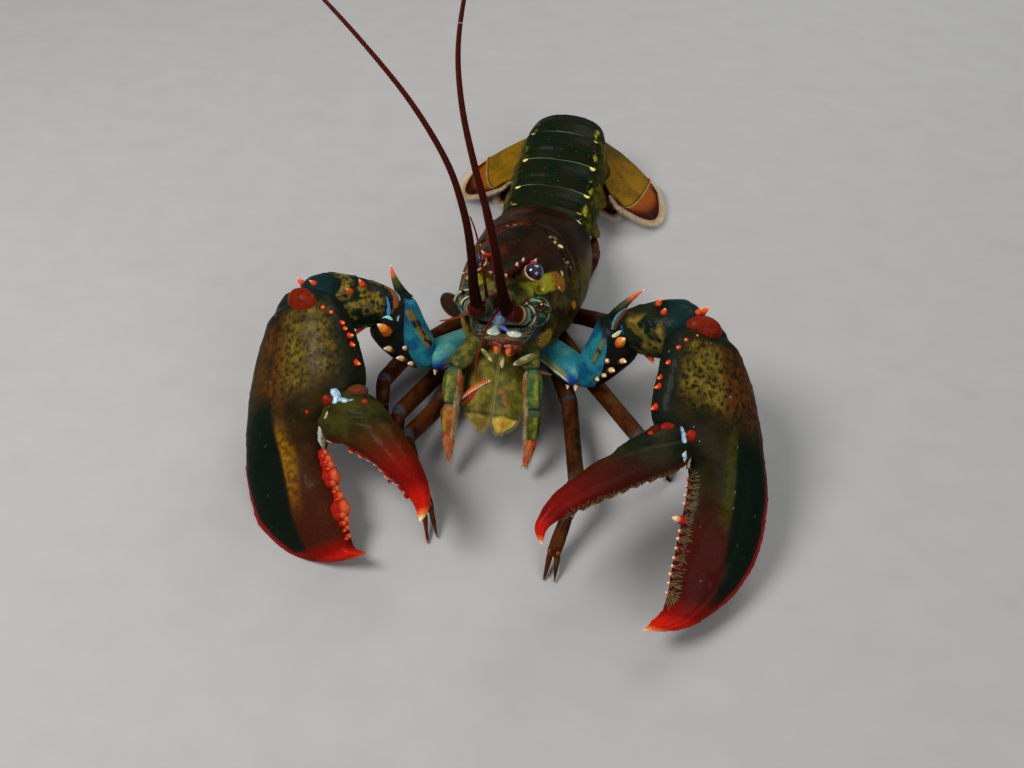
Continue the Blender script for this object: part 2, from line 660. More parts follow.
def even_columns(grid, count):
    """the grid with its points spaced evenly round each row"""
    closed = np.concatenate((grid, grid[:, :1]), axis=1)
    out = np.zeros((len(grid), count, 3))
    for r, row in enumerate(closed):
        lengths = run_of(row)
        places = np.linspace(0.0, lengths[-1], count, endpoint=False)
        for a in range(3):
            out[r, :, a] = np.interp(places, lengths, row[:, a])
    return out


def normals(grid, closed=True):
    """direction out of the surface at each point of a grid"""
    along = np.gradient(grid, axis=0)
    if closed:
        across = np.roll(grid, -1, axis=1) - np.roll(grid, 1, axis=1)
    else:
        across = np.gradient(grid, axis=1)
    out = np.cross(across, along)
    out /= np.maximum(np.linalg.norm(out, axis=-1, keepdims=True), 1e-9)
    if closed:
        middle = grid.mean(axis=1, keepdims=True)
        if np.sum(out * (grid - middle)) < 0.0:
            out = -out
    return out


def mesh_object(name, points, faces, tints, roughs, pits, material):
    """object with a tint, a roughness and a pit mask at each point"""
    mesh = bpy.data.meshes.new(name)
    mesh.from_pydata(((points + vec(OFFSET)) * UNIT).tolist(), [], faces)
    mesh.update()
    tints = np.concatenate((np.clip(tints, 0.0, 1.0), np.ones((len(tints), 1))), axis=1)
    mesh.attributes.new("tint", "FLOAT_COLOR", "POINT").data.foreach_set("color", tints.ravel())
    mesh.attributes.new("rough", "FLOAT", "POINT").data.foreach_set("value", roughs)
    mesh.attributes.new("pit", "FLOAT", "POINT").data.foreach_set("value", pits)
    mesh.shade_smooth()
    mesh.materials.append(material)
    obj = bpy.data.objects.new(name, mesh)
    bpy.context.scene.collection.objects.link(obj)
    return obj


class Skin:
    """a mesh gathered from patches, with a tint, a roughness and a pit mask at each point"""

    def __init__(self):
        self.points, self.tints, self.roughs, self.pits, self.faces, self.count = [], [], [], [], [], 0

    def add(self, points, faces, tint, rough=0.3, pit=0.0):
        """one more patch"""
        n = len(points)
        self.points.append(points)
        self.tints.append(spread(tint, (n, 3)))
        self.roughs.append(spread(rough, (n,)))
        self.pits.append(spread(pit, (n,)))
        self.faces.extend([tuple(int(v) + self.count for v in face) for face in faces])
        self.count += n

    def tube(self, grid, ends, tint, rough=0.3, pit=0.0):
        """closed surface over a grid of rings and its two end points"""
        rows, columns = grid.shape[:2]
        points = np.concatenate((grid.reshape(-1, 3), [ends[0]], [ends[1]]))
        first = rows * columns
        faces = []
        for r in range(rows - 1):
            base = r * columns
            for c in range(columns):
                n = (c + 1) % columns
                faces.append((base + c, base + n, base + columns + n, base + columns + c))
        top = (rows - 1) * columns
        for c in range(columns):
            n = (c + 1) % columns
            faces.append((first, n, c))
            faces.append((first + 1, top + c, top + n))
        if signed_volume(points, faces) < 0.0:
            faces = [face[::-1] for face in faces]
        self.add(points, faces, per_point(tint, (rows, columns, 3)), per_point(rough, (rows, columns)),
                 per_point(pit, (rows, columns)))

    def plate(self, grid, thickness, tint, rough=0.3, pit=0.0):
        """closed plate over an open grid"""
        rows, columns = grid.shape[:2]
        out = normals(grid, closed=False)
        half = 0.5 * spread(thickness, (rows, columns))[..., None]
        size = rows * columns
        faces = []
        for r in range(rows - 1):
            for c in range(columns - 1):
                a = r * columns + c
                faces.append((a, a + columns, a + columns + 1, a + 1))
                faces.append((size + a, size + a + 1, size + a + columns + 1, size + a + columns))
        rim = list(range(columns)) + [r * columns + columns - 1 for r in range(1, rows)]
        rim += [(rows - 1) * columns + c for c in range(columns - 2, -1, -1)]
        rim += [r * columns for r in range(rows - 2, 0, -1)]
        for k, a in enumerate(rim):
            b = rim[(k + 1) % len(rim)]
            faces.append((a, b, size + b, size + a))
        points = np.concatenate(((grid + out * half).reshape(-1, 3), (grid - out * half).reshape(-1, 3)))
        if signed_volume(points, faces) < 0.0:
            faces = [face[::-1] for face in faces]
        tints = spread(tint, (rows, columns, 3)).reshape(-1, 3)
        roughs = spread(rough, (rows, columns)).reshape(-1)
        pits = spread(pit, (rows, columns)).reshape(-1)
        self.add(points, faces, *(np.concatenate((face, face)) for face in (tints, roughs, pits)))

    def object(self, name, material, nodes=(), slot=None):
        """the finished object, which rides on the model's one body"""
        obj = mesh_object(name, np.concatenate(self.points), self.faces, np.concatenate(self.tints),
                          np.concatenate(self.roughs), np.concatenate(self.pits), material)
        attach(obj, "root")
        if nodes:
            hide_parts(*nodes)
        return obj


class Fringe:
    """many fine hairs joined into one mesh, each with its own small patch of the baking map"""

    def __init__(self):
        self.points, self.faces, self.tints, self.places, self.count = [], [], [], [], 0

    def hair(self, root, way, length, radius, bend, tint, tip_tint, place):
        """three-sided hair of two lengths that ends in a point"""
        root, way, bend = vec(root), vec(way), vec(bend)
        way = way / np.linalg.norm(way)
        side = np.cross(way, (0.37, 0.61, 0.70))
        side = side / np.linalg.norm(side)
        above = np.cross(way, side)
        start = self.count
        for level, (share, size) in enumerate(((-0.08, 1.0), (0.5, 0.75))):
            middle = root + way * length * share + bend * (length * share * abs(share))
            for k in range(3):
                turn = 2.0 * math.pi * k / 3.0
                self.points.append(middle + radius * size
                                   * (math.cos(turn) * side + math.sin(turn) * above))
                self.tints.append(mix(tint, tip_tint, 0.15 + 0.5 * level))
                self.places.append((place[0] + PATCH * (k - 1), place[1] + PATCH * (level - 1)))
        self.points.append(root + way * length + bend * length)
        self.tints.append(tip_tint)
        self.places.append((place[0], place[1] + PATCH))
        for k in range(3):
            n = (k + 1) % 3
            self.faces.append((start + k, start + n, start + 3 + n, start + 3 + k))
            self.faces.append((start + 3 + k, start + 3 + n, start + 6))
        self.faces.append((start + 2, start + 1, start))
        self.count += 7

    def object(self, name, slot):
        """the finished hairs, with the baking map"""
        obj = mesh_object(name, np.array(self.points), self.faces, np.array(self.tints),
                          np.full(self.count, 0.5), np.zeros(self.count), BRISTLE)
        mesh = obj.data
        points = np.zeros(len(mesh.loops), dtype=np.int32)
        mesh.loops.foreach_get("vertex_index", points)
        layer = mesh.uv_layers.new(name="OFBake")
        layer.data.foreach_set("uv", np.array(self.places)[points].ravel())
        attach(obj, "root")
        return obj


def signed_volume(points, faces):
    """above 0 where the faces look outwards"""
    quads = np.array([face if len(face) == 4 else face + (face[2],) for face in faces])
    a, b, c, d = (points[quads[:, k]] for k in range(4))
    return float(np.sum(a * np.cross(b, c)) + np.sum(a * np.cross(c, d)))


def per_point(values, shape):
    """values over a grid, with the first and last row's mean for its two end points"""
    full = spread(values, shape)
    ends = np.stack((full[0].mean(axis=0), full[-1].mean(axis=0)))
    return np.concatenate((full.reshape((-1,) + shape[2:]), ends))


def cone(root, tip, radius, bend=None, rows=14, sides=12):
    """grid of a spine whose root is sunk into its surface, straight or through a bend"""
    root, tip = vec(root), vec(tip)
    bend = 0.5 * (root + tip) if bend is None else vec(bend)
    start = root - (bend - root) / max(np.linalg.norm(bend - root), 1e-6) * radius
    axis = (tip - root) / np.linalg.norm(tip - root)
    side = np.cross(axis, (0.31, 0.52, 0.79))
    side /= np.linalg.norm(side)
    above = np.cross(axis, side)
    grid = np.zeros((rows, sides, 3))
    angles = circle(sides)
    for r in range(rows):
        t = r / (rows - 1)
        if t < 0.2:
            middle = start + (root - start) * (t / 0.2)
            wide = radius * (1.35 - 0.35 * (t / 0.2))
        else:
            u = (t - 0.2) / 0.8
            middle = (1 - u) ** 2 * root + 2 * u * (1 - u) * bend + u * u * tip
            wide = radius * (1.0 - u) ** 0.85 + 0.10 * u
        grid[r] = middle + wide * turned(angles, side, above)
    return grid, (start, tip + axis * 0.06)


def add_spine(skin, root, tip, radius, base, body_tint, tip_tint, bend=None, white=0.72):
    """a spine that runs from its surface's tint to red and a pale tip"""
    grid, ends = cone(root, tip, radius, bend)
    rows, sides = grid.shape[:2]
    t = np.linspace(-0.25, 1.0, rows)[:, None] * np.ones((1, sides))
    tint = mix(base, body_tint, smooth(0.0, 0.3, t))
    tint = mix(tint, tip_tint, smooth(white - 0.15, white + 0.1, t))
    skin.tube(grid, ends, tint, 0.22)


# Materials

def node(tree, kind, inputs=None, **settings):
    """new shader node with its settings and its unlinked inputs"""
    made = tree.nodes.new("ShaderNode" + kind)
    for name, value in settings.items():
        setattr(made, name, value)
    for socket, value in (inputs or {}).items():
        made.inputs[socket].default_value = value
    return made


def plain_material(name):
    """new material, its nodes and its shader"""
    material = bpy.data.materials.new(name)
    material.use_nodes = True
    return material, material.node_tree, material.node_tree.nodes["Principled BSDF"]


def shell_material(name, fine=1.0, coat=0.02, speckle=0.12, bump=0.25, subsurface=0.0, shine=0.02):
    """hard shell: its tint and roughness come from the surface, with fine speckle and pits over them"""
    material, tree, shader = plain_material(name)
    tint, rough, pit = (node(tree, "Attribute", attribute_name=word) for word in ("tint", "rough", "pit"))
    place = node(tree, "TexCoord")
    spots = node(tree, "TexNoise", {"Scale": 900.0 / fine, "Detail": 5.0, "Roughness": 0.65})
    level = node(tree, "MapRange", {"From Min": 0.3, "From Max": 0.7, "To Min": 1.0 - 2.2 * speckle,
                                    "To Max": 1.0 + 2.2 * speckle})
    shade = node(tree, "VectorMath", operation="SCALE")
    worn = node(tree, "Math", {1: 0.12}, operation="MULTIPLY_ADD")
    holes = node(tree, "TexVoronoi", {"Scale": 620.0 / fine})
    dent = node(tree, "MapRange", {"From Min": 0.0, "From Max": 0.32, "To Min": -1.0, "To Max": 0.0})
    deep = node(tree, "Math", operation="MULTIPLY")
    height = node(tree, "Math", {1: 0.6}, operation="MULTIPLY_ADD")
    relief = node(tree, "Bump", {"Strength": bump, "Distance": 0.0006})
    for source, out, target, socket in (
            (place, "Object", spots, "Vector"), (spots, "Fac", level, "Value"),
            (tint, "Color", shade, 0), (level, "Result", shade, "Scale"),
            (shade, "Vector", shader, "Base Color"),
            (spots, "Fac", worn, 0), (rough, "Fac", worn, 2), (worn, "Value", shader, "Roughness"),
            (place, "Object", holes, "Vector"), (holes, "Distance", dent, "Value"),
            (dent, "Result", deep, 0), (pit, "Fac", deep, 1),
            (spots, "Fac", height, 0), (deep, "Value", height, 2),
            (height, "Value", relief, "Height"), (relief, "Normal", shader, "Normal")):
        tree.links.new(source.outputs[out], target.inputs[socket])
    for socket, value in (("Specular IOR Level", shine), ("Coat Weight", coat), ("Coat Roughness", 0.09),
                          ("Subsurface Weight", subsurface), ("Subsurface Scale", 0.002)):
        shader.inputs[socket].default_value = value
    return material


def floor_material():
    """plain grey paper with a faint grain"""
    material, tree, shader = plain_material("floor_paper")
    grain = node(tree, "TexNoise", {"Scale": 400.0})
    level = node(tree, "MapRange", {"To Min": 0.30, "To Max": 0.34})
    tree.links.new(grain.outputs["Fac"], level.inputs["Value"])
    tree.links.new(level.outputs["Result"], shader.inputs["Base Color"])
    shader.inputs["Roughness"].default_value = 0.7
    return material


SHELL = shell_material("shell")
SOFT = shell_material("membrane", fine=0.8, coat=0.06, speckle=0.18, bump=0.3, subsurface=0.15)
FAN_SHELL = shell_material("fan_shell", fine=0.8, coat=0.0, speckle=0.2, bump=0.25)
BRISTLE = shell_material("bristle", fine=1.5, coat=0.0, speckle=0.1, bump=0.0)
EYE = shell_material("eye", fine=0.4, coat=0.6, speckle=0.05, bump=0.02, shine=0.5)


# Colours seen on the animal, as display values
OCHRE = colour(172, 130, 50)
MAROON = colour(66, 14, 9)
RED = colour(150, 30, 18)
RED_ORANGE = colour(198, 66, 30)
ORANGE = colour(222, 118, 50)
WHITE = colour(238, 230, 212)
TURQUOISE = colour(38, 112, 130)
PALE_BLUE = colour(186, 202, 206)
RUST = colour(88, 44, 17)


# Carapace

def carapace_grid(sides, steps):
    """rings of the head shell"""
    sections = [(Vector((s, half, top)), Vector((level, low, lean)), Vector(), Vector())
                for s, half, top, level, low, lean in CARAPACE]
    grid = []
    angles = circle(sides)
    c = np.cos(angles)
    v = np.sin(angles)
    power = np.where(v >= 0.0, 2.0 / 2.15, 2.0 / 3.2)
    for numbers, more, _, _ in refine(sections, steps):
        s, half, top = numbers
        level, low, lean = more
        x = half * np.sign(c) * np.abs(c) ** power
        reach = np.where(v >= 0.0, top - level, low - level)
        h = level + reach * np.abs(v) ** power
        foot = (top - h) / (top - low)
        grid.append(to_stance(x, s + lean * foot, h))
    return np.array(grid)


def to_stance(x, s, h):
    """places on the body as points in the stance frame"""
    x, s, h = np.broadcast_arrays(np.asarray(x, float), np.asarray(s, float), np.asarray(h, float))
    return (vec(ORBIT) + x[..., None] * vec(SIDE) + s[..., None] * vec(BACK) + h[..., None] * vec(RISE))


def to_body(points):
    """side, distance back and height of points in the stance frame"""
    q = np.asarray(points, dtype=float) - vec(ORBIT)
    return q @ vec(SIDE), q @ vec(BACK), q @ vec(RISE)


def solid(points, faces):
    """object in millimetres for joining"""
    mesh = bpy.data.meshes.new("solid")
    mesh.from_pydata(points.tolist(), [], faces)
    obj = bpy.data.objects.new("solid", mesh)
    bpy.context.scene.collection.objects.link(obj)
    return obj


def merged(skin, voxel, rounds):
    """one even surface round everything gathered in a skin: its points, faces and directions"""
    obj = solid(np.concatenate(skin.points), skin.faces)
    remesh = obj.modifiers.new("remesh", "REMESH")
    remesh.mode = "VOXEL"
    remesh.voxel_size = voxel
    remesh.adaptivity = 0.0
    soften = obj.modifiers.new("soften", "SMOOTH")
    soften.factor = 0.5
    soften.iterations = rounds
    graph = bpy.context.evaluated_depsgraph_get()
    mesh = bpy.data.meshes.new_from_object(obj.evaluated_get(graph))
    count = len(mesh.vertices)
    points = np.zeros(count * 3)
    mesh.vertices.foreach_get("co", points)
    out = np.zeros(count * 3)
    mesh.vertices.foreach_get("normal", out)
    faces = [tuple(face.vertices) for face in mesh.polygons]
    old = obj.data
    bpy.data.objects.remove(obj)
    bpy.data.meshes.remove(old)
    bpy.data.meshes.remove(mesh)
    return points.reshape(-1, 3), faces, out.reshape(-1, 3)


def groove_line(h):
    """how far back the groove across the head shell lies at a height"""
    return np.interp(h, [-48.0, -32.0, -20.0, -11.0, 0.4, 6.0, 9.0],
                     [22.0, 28.0, 33.0, 33.5, 38.0, 43.0, 49.0])


CHEEK_PATCH = [(13.5, 0.5, -8.9), (17.9, 4.1, -8.3), (20.5, 12.0, -8.8), (23.0, 18.0, -10.0),
               (24.6, 21.0, -12.0)]
FLECKS = [
    ((24.2, 25.5, -8.0), 1.0, (214, 196, 120)),
    ((19.6, 41.5, 1.3), 1.0, (200, 190, 130)),
    ((31.0, 33.0, -27.0), 1.6, (196, 124, 30)),
]


def near_line(places, line):
    """distance from each place to a line of points"""
    apart = np.full(places.shape[:-1], 1e9)
    for a, b in zip(line, line[1:]):
        a, b = np.array(a), np.array(b)
        t = np.clip(((places - a) @ (b - a)) / ((b - a) @ (b - a)), 0.0, 1.0)
        apart = np.minimum(apart, np.linalg.norm(places - a - t[..., None] * (b - a), axis=-1))
    return apart


def carapace():
    """head shell with its beak, groove, ridges and spines"""
    core = Skin()
    core.tube(carapace_grid(120, 8), (vec(body(0.0, 0.6, -22.0)), vec(body(0.0, 99.8, -8.0))), (0, 0, 0))
    stations = []
    for s, half, thick, h in ROSTRUM:
        stations.append(station(body(0.0, s, h), SIDE * half, RISE * (thick * 0.5)))
    grid, ends = rings(stations, 48, 10)
    core.tube(grid, ends, (0, 0, 0))
    points, faces, out = merged(core, 0.6, 6)
    x, s, h = to_body(points)
    side = np.abs(x)
    upper = smooth(-46.0, -34.0, h)
    groove = bell(0.0, 1.5, s - groove_line(h)) * upper
    ridge = smooth(1.5, 5.5, s - groove_line(h)) * bell(5.0, 5.0, s - groove_line(h)) * upper
    keel = bell(0.0, 0.7, x) * smooth(54.0, 60.0, s) * smooth(0.0, 4.0, h)
    trough = bell(0.0, 2.6, x) * smooth(24.0, 6.0, s) * smooth(-2.0, 1.0, h) * smooth(-27.0, -20.0, s)
    rail = bell(0.0, 1.4, side - np.interp(s, [-20.0, -5.0, 8.0, 26.0], [2.6, 5.4, 8.6, 11.0]))
    rail = rail * smooth(30.0, 10.0, s) * smooth(-2.0, 1.0, h)
    rim = bell(0.0, 1.6, s - 97.6 - 0.02 * h) * smooth(-40.0, -30.0, h)
    edge = smooth(1.2, 3.2, s) * bell(3.2, 2.4, s) * smooth(-8.0, -12.0, h)
    lumps = clouds(points, 9.0, 3, 1)
    move = -1.7 * groove + 0.5 * ridge - 0.35 * keel - 1.1 * trough + 0.9 * rail + 0.6 * edge
    move = move - 0.7 * bell(95.0, 1.0, s) * smooth(-40.0, -30.0, h) + 0.25 * rim + 0.35 * lumps
    points = points + out * move[:, None]
    skin = Skin()
    skin.add(points, faces, carapace_tint(points, x, s, h, rail), 0.34 + 0.06 * lumps, 0.6)
    head_spines(skin)
    skin.object("carapace_shell", SHELL, ["carapace"], "carapace_shell")


def carapace_tint(points, x, s, h, rail):
    """dark mottled back, olive flanks, yellow cheeks, and pale marks along the groove and the rear edge"""
    side = np.abs(x)
    tint = mottled(points, (34, 18, 7), (14, 11, 4), 14.0, 4, 2, -0.35, 0.45)
    warm = smooth(0.0, 0.5, clouds(points, 10.0, 3, 30)) * smooth(8.0, -8.0, x)
    tint = mix(tint, colour(72, 24, 8), 0.7 * warm)
    flank = smooth(-2.0, -18.0, h) * smooth(4.0, 20.0, side)
    olive = mottled(points, (30, 26, 6), (76, 64, 16), 6.0, 4, 3, -0.3, 0.5)
    tint = mix(tint, olive, 0.8 * flank)
    outer = smooth(30.0, 34.0, side) * smooth(20.0, 40.0, s)
    moss = mottled(points, (66, 58, 12), (94, 82, 24), 4.0, 3, 8)
    tint = mix(tint, moss, 0.7 * outer)
    dots, value = cells(points, 2.4, 4)
    pale = smooth(0.26, 0.14, dots) * smooth(0.62, 0.72, value)
    line = bell(1.2, 1.4, s - groove_line(h)) * smooth(-34.0, -24.0, h)
    beads = smooth(-0.1, 0.4, cloud(points, 1.5, 5)) * smooth(0.0, 0.3, clouds(points, 5.0, 2, 9))
    tint = mix(tint, colour(150, 126, 60), 0.6 * pale * (0.2 + 0.8 * line))
    tint = mix(tint, colour(176, 164, 116), 0.75 * line * beads)
    dust, value = cells(points, 1.5, 10)
    grain = smooth(0.3, 0.15, dust) * smooth(0.55, 0.8, value) * flank
    tint = mix(tint, colour(122, 100, 44), 0.5 * grain)
    low = smooth(-38.0, -45.0, h)
    tint = mix(tint, colour(96, 84, 52), 0.6 * low)
    left = x > 0.0
    places = np.stack([side, s, h], axis=-1)
    apart = near_line(places, CHEEK_PATCH)
    cheek = smooth(5.4, 3.6, apart + 1.0 * clouds(points, 3.0, 3, 6))
    yellow = mix(colour(146, 142, 30), colour(136, 88, 20), smooth(9.0, 19.0, s))
    spots = smooth(0.42, 0.30, cells(points, 1.4, 15)[0]) * smooth(9.0, 15.0, s)
    tint = mix(tint, mix(yellow, colour(40, 24, 12), 0.8 * spots), cheek)
    lobe = smooth(6.5, 4.0, np.linalg.norm(places - np.array((22.2, 7.0, -38.0)), axis=-1))
    speck = smooth(0.5, 0.3, cells(points, 1.3, 16)[0]) * 0.7
    tint = mix(tint, mix(colour(150, 118, 40), colour(52, 26, 14), speck), 0.9 * lobe)
    for place, radius, shade in FLECKS:
        size = np.array((radius * 1.6, radius, radius * 1.6))
        spot = smooth(1.2, 0.6, np.linalg.norm((places - np.array(place)) / size, axis=-1))
        tint = mix(tint, colour(*shade), spot * left)
    front = bell(2.6, 1.2, s) * smooth(-10.0, -16.0, h)
    tint = mix(tint, colour(44, 70, 96), 0.5 * front * smooth(-0.2, 0.4, clouds(points, 4.0, 3, 17)))
    tint = mix(tint, colour(92, 16, 10), 0.7 * smooth(-18.0, -26.0, s))
    tint = mix(tint, colour(116, 140, 112),
               0.8 * bell(97.5, 0.45, s) * smooth(0.80, 0.70, side / 26.0) * (h > 0.0))
    ends_ = bell(0.84, 0.07, side / 26.0) * bell(97.2, 1.6, s) * (h > 0.0)
    tint = mix(tint, colour(224, 222, 190), smooth(0.15, 0.45, ends_))
    return mix(tint, colour(64, 14, 10), 0.5 * rail)


def head_spines(skin):
    """spines beside the beak and on the cheeks, and the beak's own tip"""
    for root, tip, radius in HEAD_SPINES:
        for sign in (1.0, -1.0):
            a = body(sign * root[0], root[1], root[2])
            b = body(sign * tip[0], tip[1], tip[2])
            middle = blend(a, b, 0.5) - RISE * 0.5
            if root[0] > 20.0:
                shades = (colour(110, 70, 24), colour(150, 70, 34), colour(226, 206, 160))
            elif root[0] > 15.0:
                shades = (colour(146, 142, 30), colour(150, 146, 40), colour(190, 180, 80))
            else:
                shades = (colour(150, 22, 12), colour(206, 58, 30), WHITE)
            add_spine(skin, a, b, radius * 1.35, *shades, middle)
    tip = body(0.0, -28.3, 3.4)
    add_spine(skin, body(0.0, -23.5, 2.3), tip, 1.7, colour(96, 14, 10), colour(190, 40, 24), WHITE)


def breast_plate():
    """pale plate between the legs"""
    stations = [station(body(0.0, s, low + 6.0), SIDE * half, RISE * 6.0) for s, half, low in STERNUM]
    grid, ends = rings(stations, 48, 8, 3.0)
    lumps = clouds(grid, 5.0, 3, 12)
    grid = grid + normals(grid) * (0.25 * lumps)[..., None]
    skin = Skin()
    skin.tube(grid, ends, mix(colour(120, 120, 96), colour(170, 160, 130), smooth(-0.4, 0.5, lumps)), 0.3,
              0.4)
    skin.object("breast_plate", SHELL, ["sternum"], "arm_shell")


# Tail

def tail_ring(index):
    """one ring of the tail with its two side plates"""
    points, planes, slopes = tail_joints()
    a, b = points[index], points[index + 1]
    along_a = Vector((0.0, math.cos(planes[index]), math.sin(planes[index])))
    along_b = Vector((0.0, math.cos(planes[index + 1]), math.sin(planes[index + 1])))
    slope = slopes[index]
    along = Vector((0.0, math.cos(slope), math.sin(slope)))
    up = Vector((0.0, -math.sin(slope), math.cos(slope)))
    length = (b - a).length
    half_a, half_b = TAIL_HALF_WIDTH[index], TAIL_HALF_WIDTH[index + 1]
    high_a, high_b = TAIL_HEIGHT[index], TAIL_HEIGHT[index + 1]
    half, height = 0.5 * (half_a + half_b), 0.5 * (high_a + high_b)
    core = Skin()
    front = tail_section(a + along_a * 0.15, planes[index], half_a - 0.8, high_a - 0.8)
    middle = tail_section(blend(a, b, 0.5) + up * (0.06 * length), slope, half + 0.3, height)
    rear = tail_section(b - along_b * 0.15, planes[index + 1], half_b + 0.4, high_b)
    grid, ends = rings([front, middle, rear], 96, 16, 2.1, 3.4)
    core.tube(grid, ends, (0, 0, 0))
    drop = PLEURA_DROP[index]
    for side in (1.0, -1.0) if drop > 0.0 else ():
        wide = 0.42 * length
        t = np.linspace(0.0, 1.0, 30)[:, None]
        u = np.linspace(-1.0, 1.0, 15)[None, :]
        level = -height * 0.72 - drop * t
        reach = wide * (1.0 - t) ** 0.6 + 0.6
        plate = (vec(blend(a, b, 0.5)) + level[..., None] * vec(up)
                 + (reach * u + 2.5 * t * t)[..., None] * vec(along)
                 + (side * half * (0.92 + 0.16 * t) * np.ones_like(u))[..., None] * vec(SIDE))
        core.plate(plate, 1.9, (0, 0, 0))
    places, faces, out = merged(core, 0.5, 4)
    q = places - vec(a)
    run = q @ vec(along) / length
    rise = q @ vec(up)
    side = np.abs(places[:, 0]) / half
    lumps = clouds(places, 6.0, 3, 11)
    back = smooth(-0.75 * height, -0.3 * height, rise)
    hind = bell(1.0, 0.10, run) * back
    step = smooth(0.34, 0.26, run) * back
    move = 0.25 * lumps + 0.30 * hind - 0.35 * step - 0.2 * bell(0.32, 0.05, run) * back
    places = places + out * move[:, None]
    tint = mottled(places, (20, 24, 8), (8, 24, 16), 8.0, 4, 12)
    tint = mix(tint, colour(30, 22, 8), 0.6 * smooth(0.0, 0.6, clouds(places, 5.0, 3, 13)))
    dots, value = cells(places, 2.2, 14)
    tint = mix(tint, colour(90, 104, 60), 0.5 * smooth(0.22, 0.1, dots) * smooth(0.8, 0.9, value))
    flank = smooth(0.80, 0.98, side) * smooth(0.5 * height, 0.1 * height, rise)
    mottle = mottled(places, (38, 42, 10), (92, 84, 20), 4.0, 4, 18, -0.2)
    tint = mix(tint, mottle, 0.75 * flank)
    plates = smooth(-0.55 * height, -0.8 * height, rise)
    tint = mix(tint, mottled(places, (52, 48, 14), (98, 76, 24), 5.0, 3, 19),
               0.7 * plates)
    top = smooth(0.77, 0.65, side) * smooth(-0.65 * height, -0.45 * height, rise)
    tint = mix(tint, colour(128, 150, 116), 0.85 * bell(1.0, 0.03, run) * top)
    corner = bell(0.74, 0.055, side) * smooth(-0.75 * height, -0.55 * height, rise)
    mark = corner * bell(0.98, 0.09, run)
    tint = mix(tint, colour(222, 210, 120),
               0.95 * smooth(0.15, 0.5, mark + 0.2 * cloud(places, 1.6, 20) * mark))
    patch = bell(0.80, 0.045, side) * smooth(0.62, 0.42, run) * smooth(-0.85 * height, -0.65 * height, rise)
    patch = patch * (0.35 + 0.65 * (places[:, 0] > 0.0))
    tint = mix(tint, colour(150, 146, 36), 0.9 * patch * smooth(-0.1, 0.3, clouds(places, 2.0, 2, 28)))
    skin = Skin()
    skin.add(places, faces, tint, 0.36 + 0.05 * lumps, 0.5)
    skin.object("tail_ring_%d" % (index + 1), SHELL, ["abdomen_%d" % (index + 1)], "tail_shell")


def fan_grid(root, tip, outward, widths, sag):
    """middle surface of a fan blade"""
    root, tip = Vector(root), Vector(tip)
    along = (tip - root).normalized()
    length = (tip - root).length
    outward = Vector(outward)
    outward = (outward - along * outward.dot(along)).normalized()
    normal = along.cross(outward).normalized()
    if normal.z < 0.0:
        normal = -normal
    t = np.linspace(0.0, 1.0, FAN_ROWS)[:, None]
    u = np.linspace(-1.0, 1.0, FAN_COLUMNS)[None, :]
    half = np.interp(t[:, 0], np.linspace(0.0, 1.0, len(widths)), widths)[:, None]
    end = length * t * (1.0 - 0.13 * t * t * u * u)
    hollow = sag * (1.0 - u * u) * np.sin(np.pi * t)
    grid = (vec(root) + end[..., None] * vec(along) + (half * u)[..., None] * vec(outward)
            + hollow[..., None] * vec(normal))
    return grid, t, u, normal


def fan_blade(name):
    """tail-fan blade: amber with a darker far part, a near-black rim and a jointed cross line"""
    root, tip, outward, widths, thickness, sag = FAN[name]
    grid, t, u, _ = fan_grid(root, tip, outward, widths, sag)
    rib = bell(0.0, 0.07, u) * (1.0 - 0.7 * t)
    lines = 0.5 + 0.5 * np.cos(u * 44.0 + 2.0 * cloud(grid, 4.0, 27))
    lumps = clouds(grid, 5.0, 3, 21)
    outer = name.startswith("uropod_outer")
    cross = 0.74 - 0.11 * u if outer else 2.0 + 0.0 * u
    seam = bell(0.0, 0.010, t - cross)
    thick = thickness * (1.0 - 0.5 * t) + 1.1 * rib + 0.12 * lines * smooth(0.5, 1.0,
                                                                            t) + 0.2 * lumps - 0.5 * seam
    near = mottled(grid, (118, 86, 12), (92, 70, 12), 9.0, 4, 22)
    near = mix(near, colour(62, 58, 26), 0.7 * smooth(0.35, 0.05, t))
    far = mix(colour(122, 62, 12), colour(92, 34, 8), smooth(0.78, 0.95, t) + 0.0 * u)
    tint = mix(near, far, smooth(0.0, 0.05, t - (cross if outer else 0.72 + 0.0 * u)))
    across, onward = 1.001 - np.abs(u) + 0.0 * t, (1.001 - t) * 1.6 + 0.0 * u
    edge = 1.0 / np.sqrt(across ** -2.0 + onward ** -2.0)
    rim = smooth(0.24, 0.08, edge) * smooth(0.60, 0.74, t)
    rim = np.maximum(rim, 0.8 * smooth(0.05, 0.01, edge))
    tint = mix(tint, colour(30, 10, 6), 0.95 * rim)
    tint = mix(tint, colour(96, 60, 24), 0.5 * rib)
    dashes = smooth(-0.1, 0.3, np.cos(u * 60.0)) * bell(0.012, 0.006, t - cross)
    tint = mix(tint, colour(40, 26, 12), 0.8 * seam)
    tint = mix(tint, colour(170, 170, 130), 0.7 * dashes)
    skin = Skin()
    skin.plate(grid, thick, tint, 0.42, 0.4)
    if outer:
        spot = grid[int(0.62 * (FAN_ROWS - 1)), -1]
        way = Vector(tip) - Vector(root)
        add_spine(skin, spot, Vector(spot) + way.normalized() * 3.0, 1.0, colour(120, 30, 12), RED_ORANGE,
                  WHITE)
    skin.object(name + "_blade", FAN_SHELL, [name], "fan_shell")


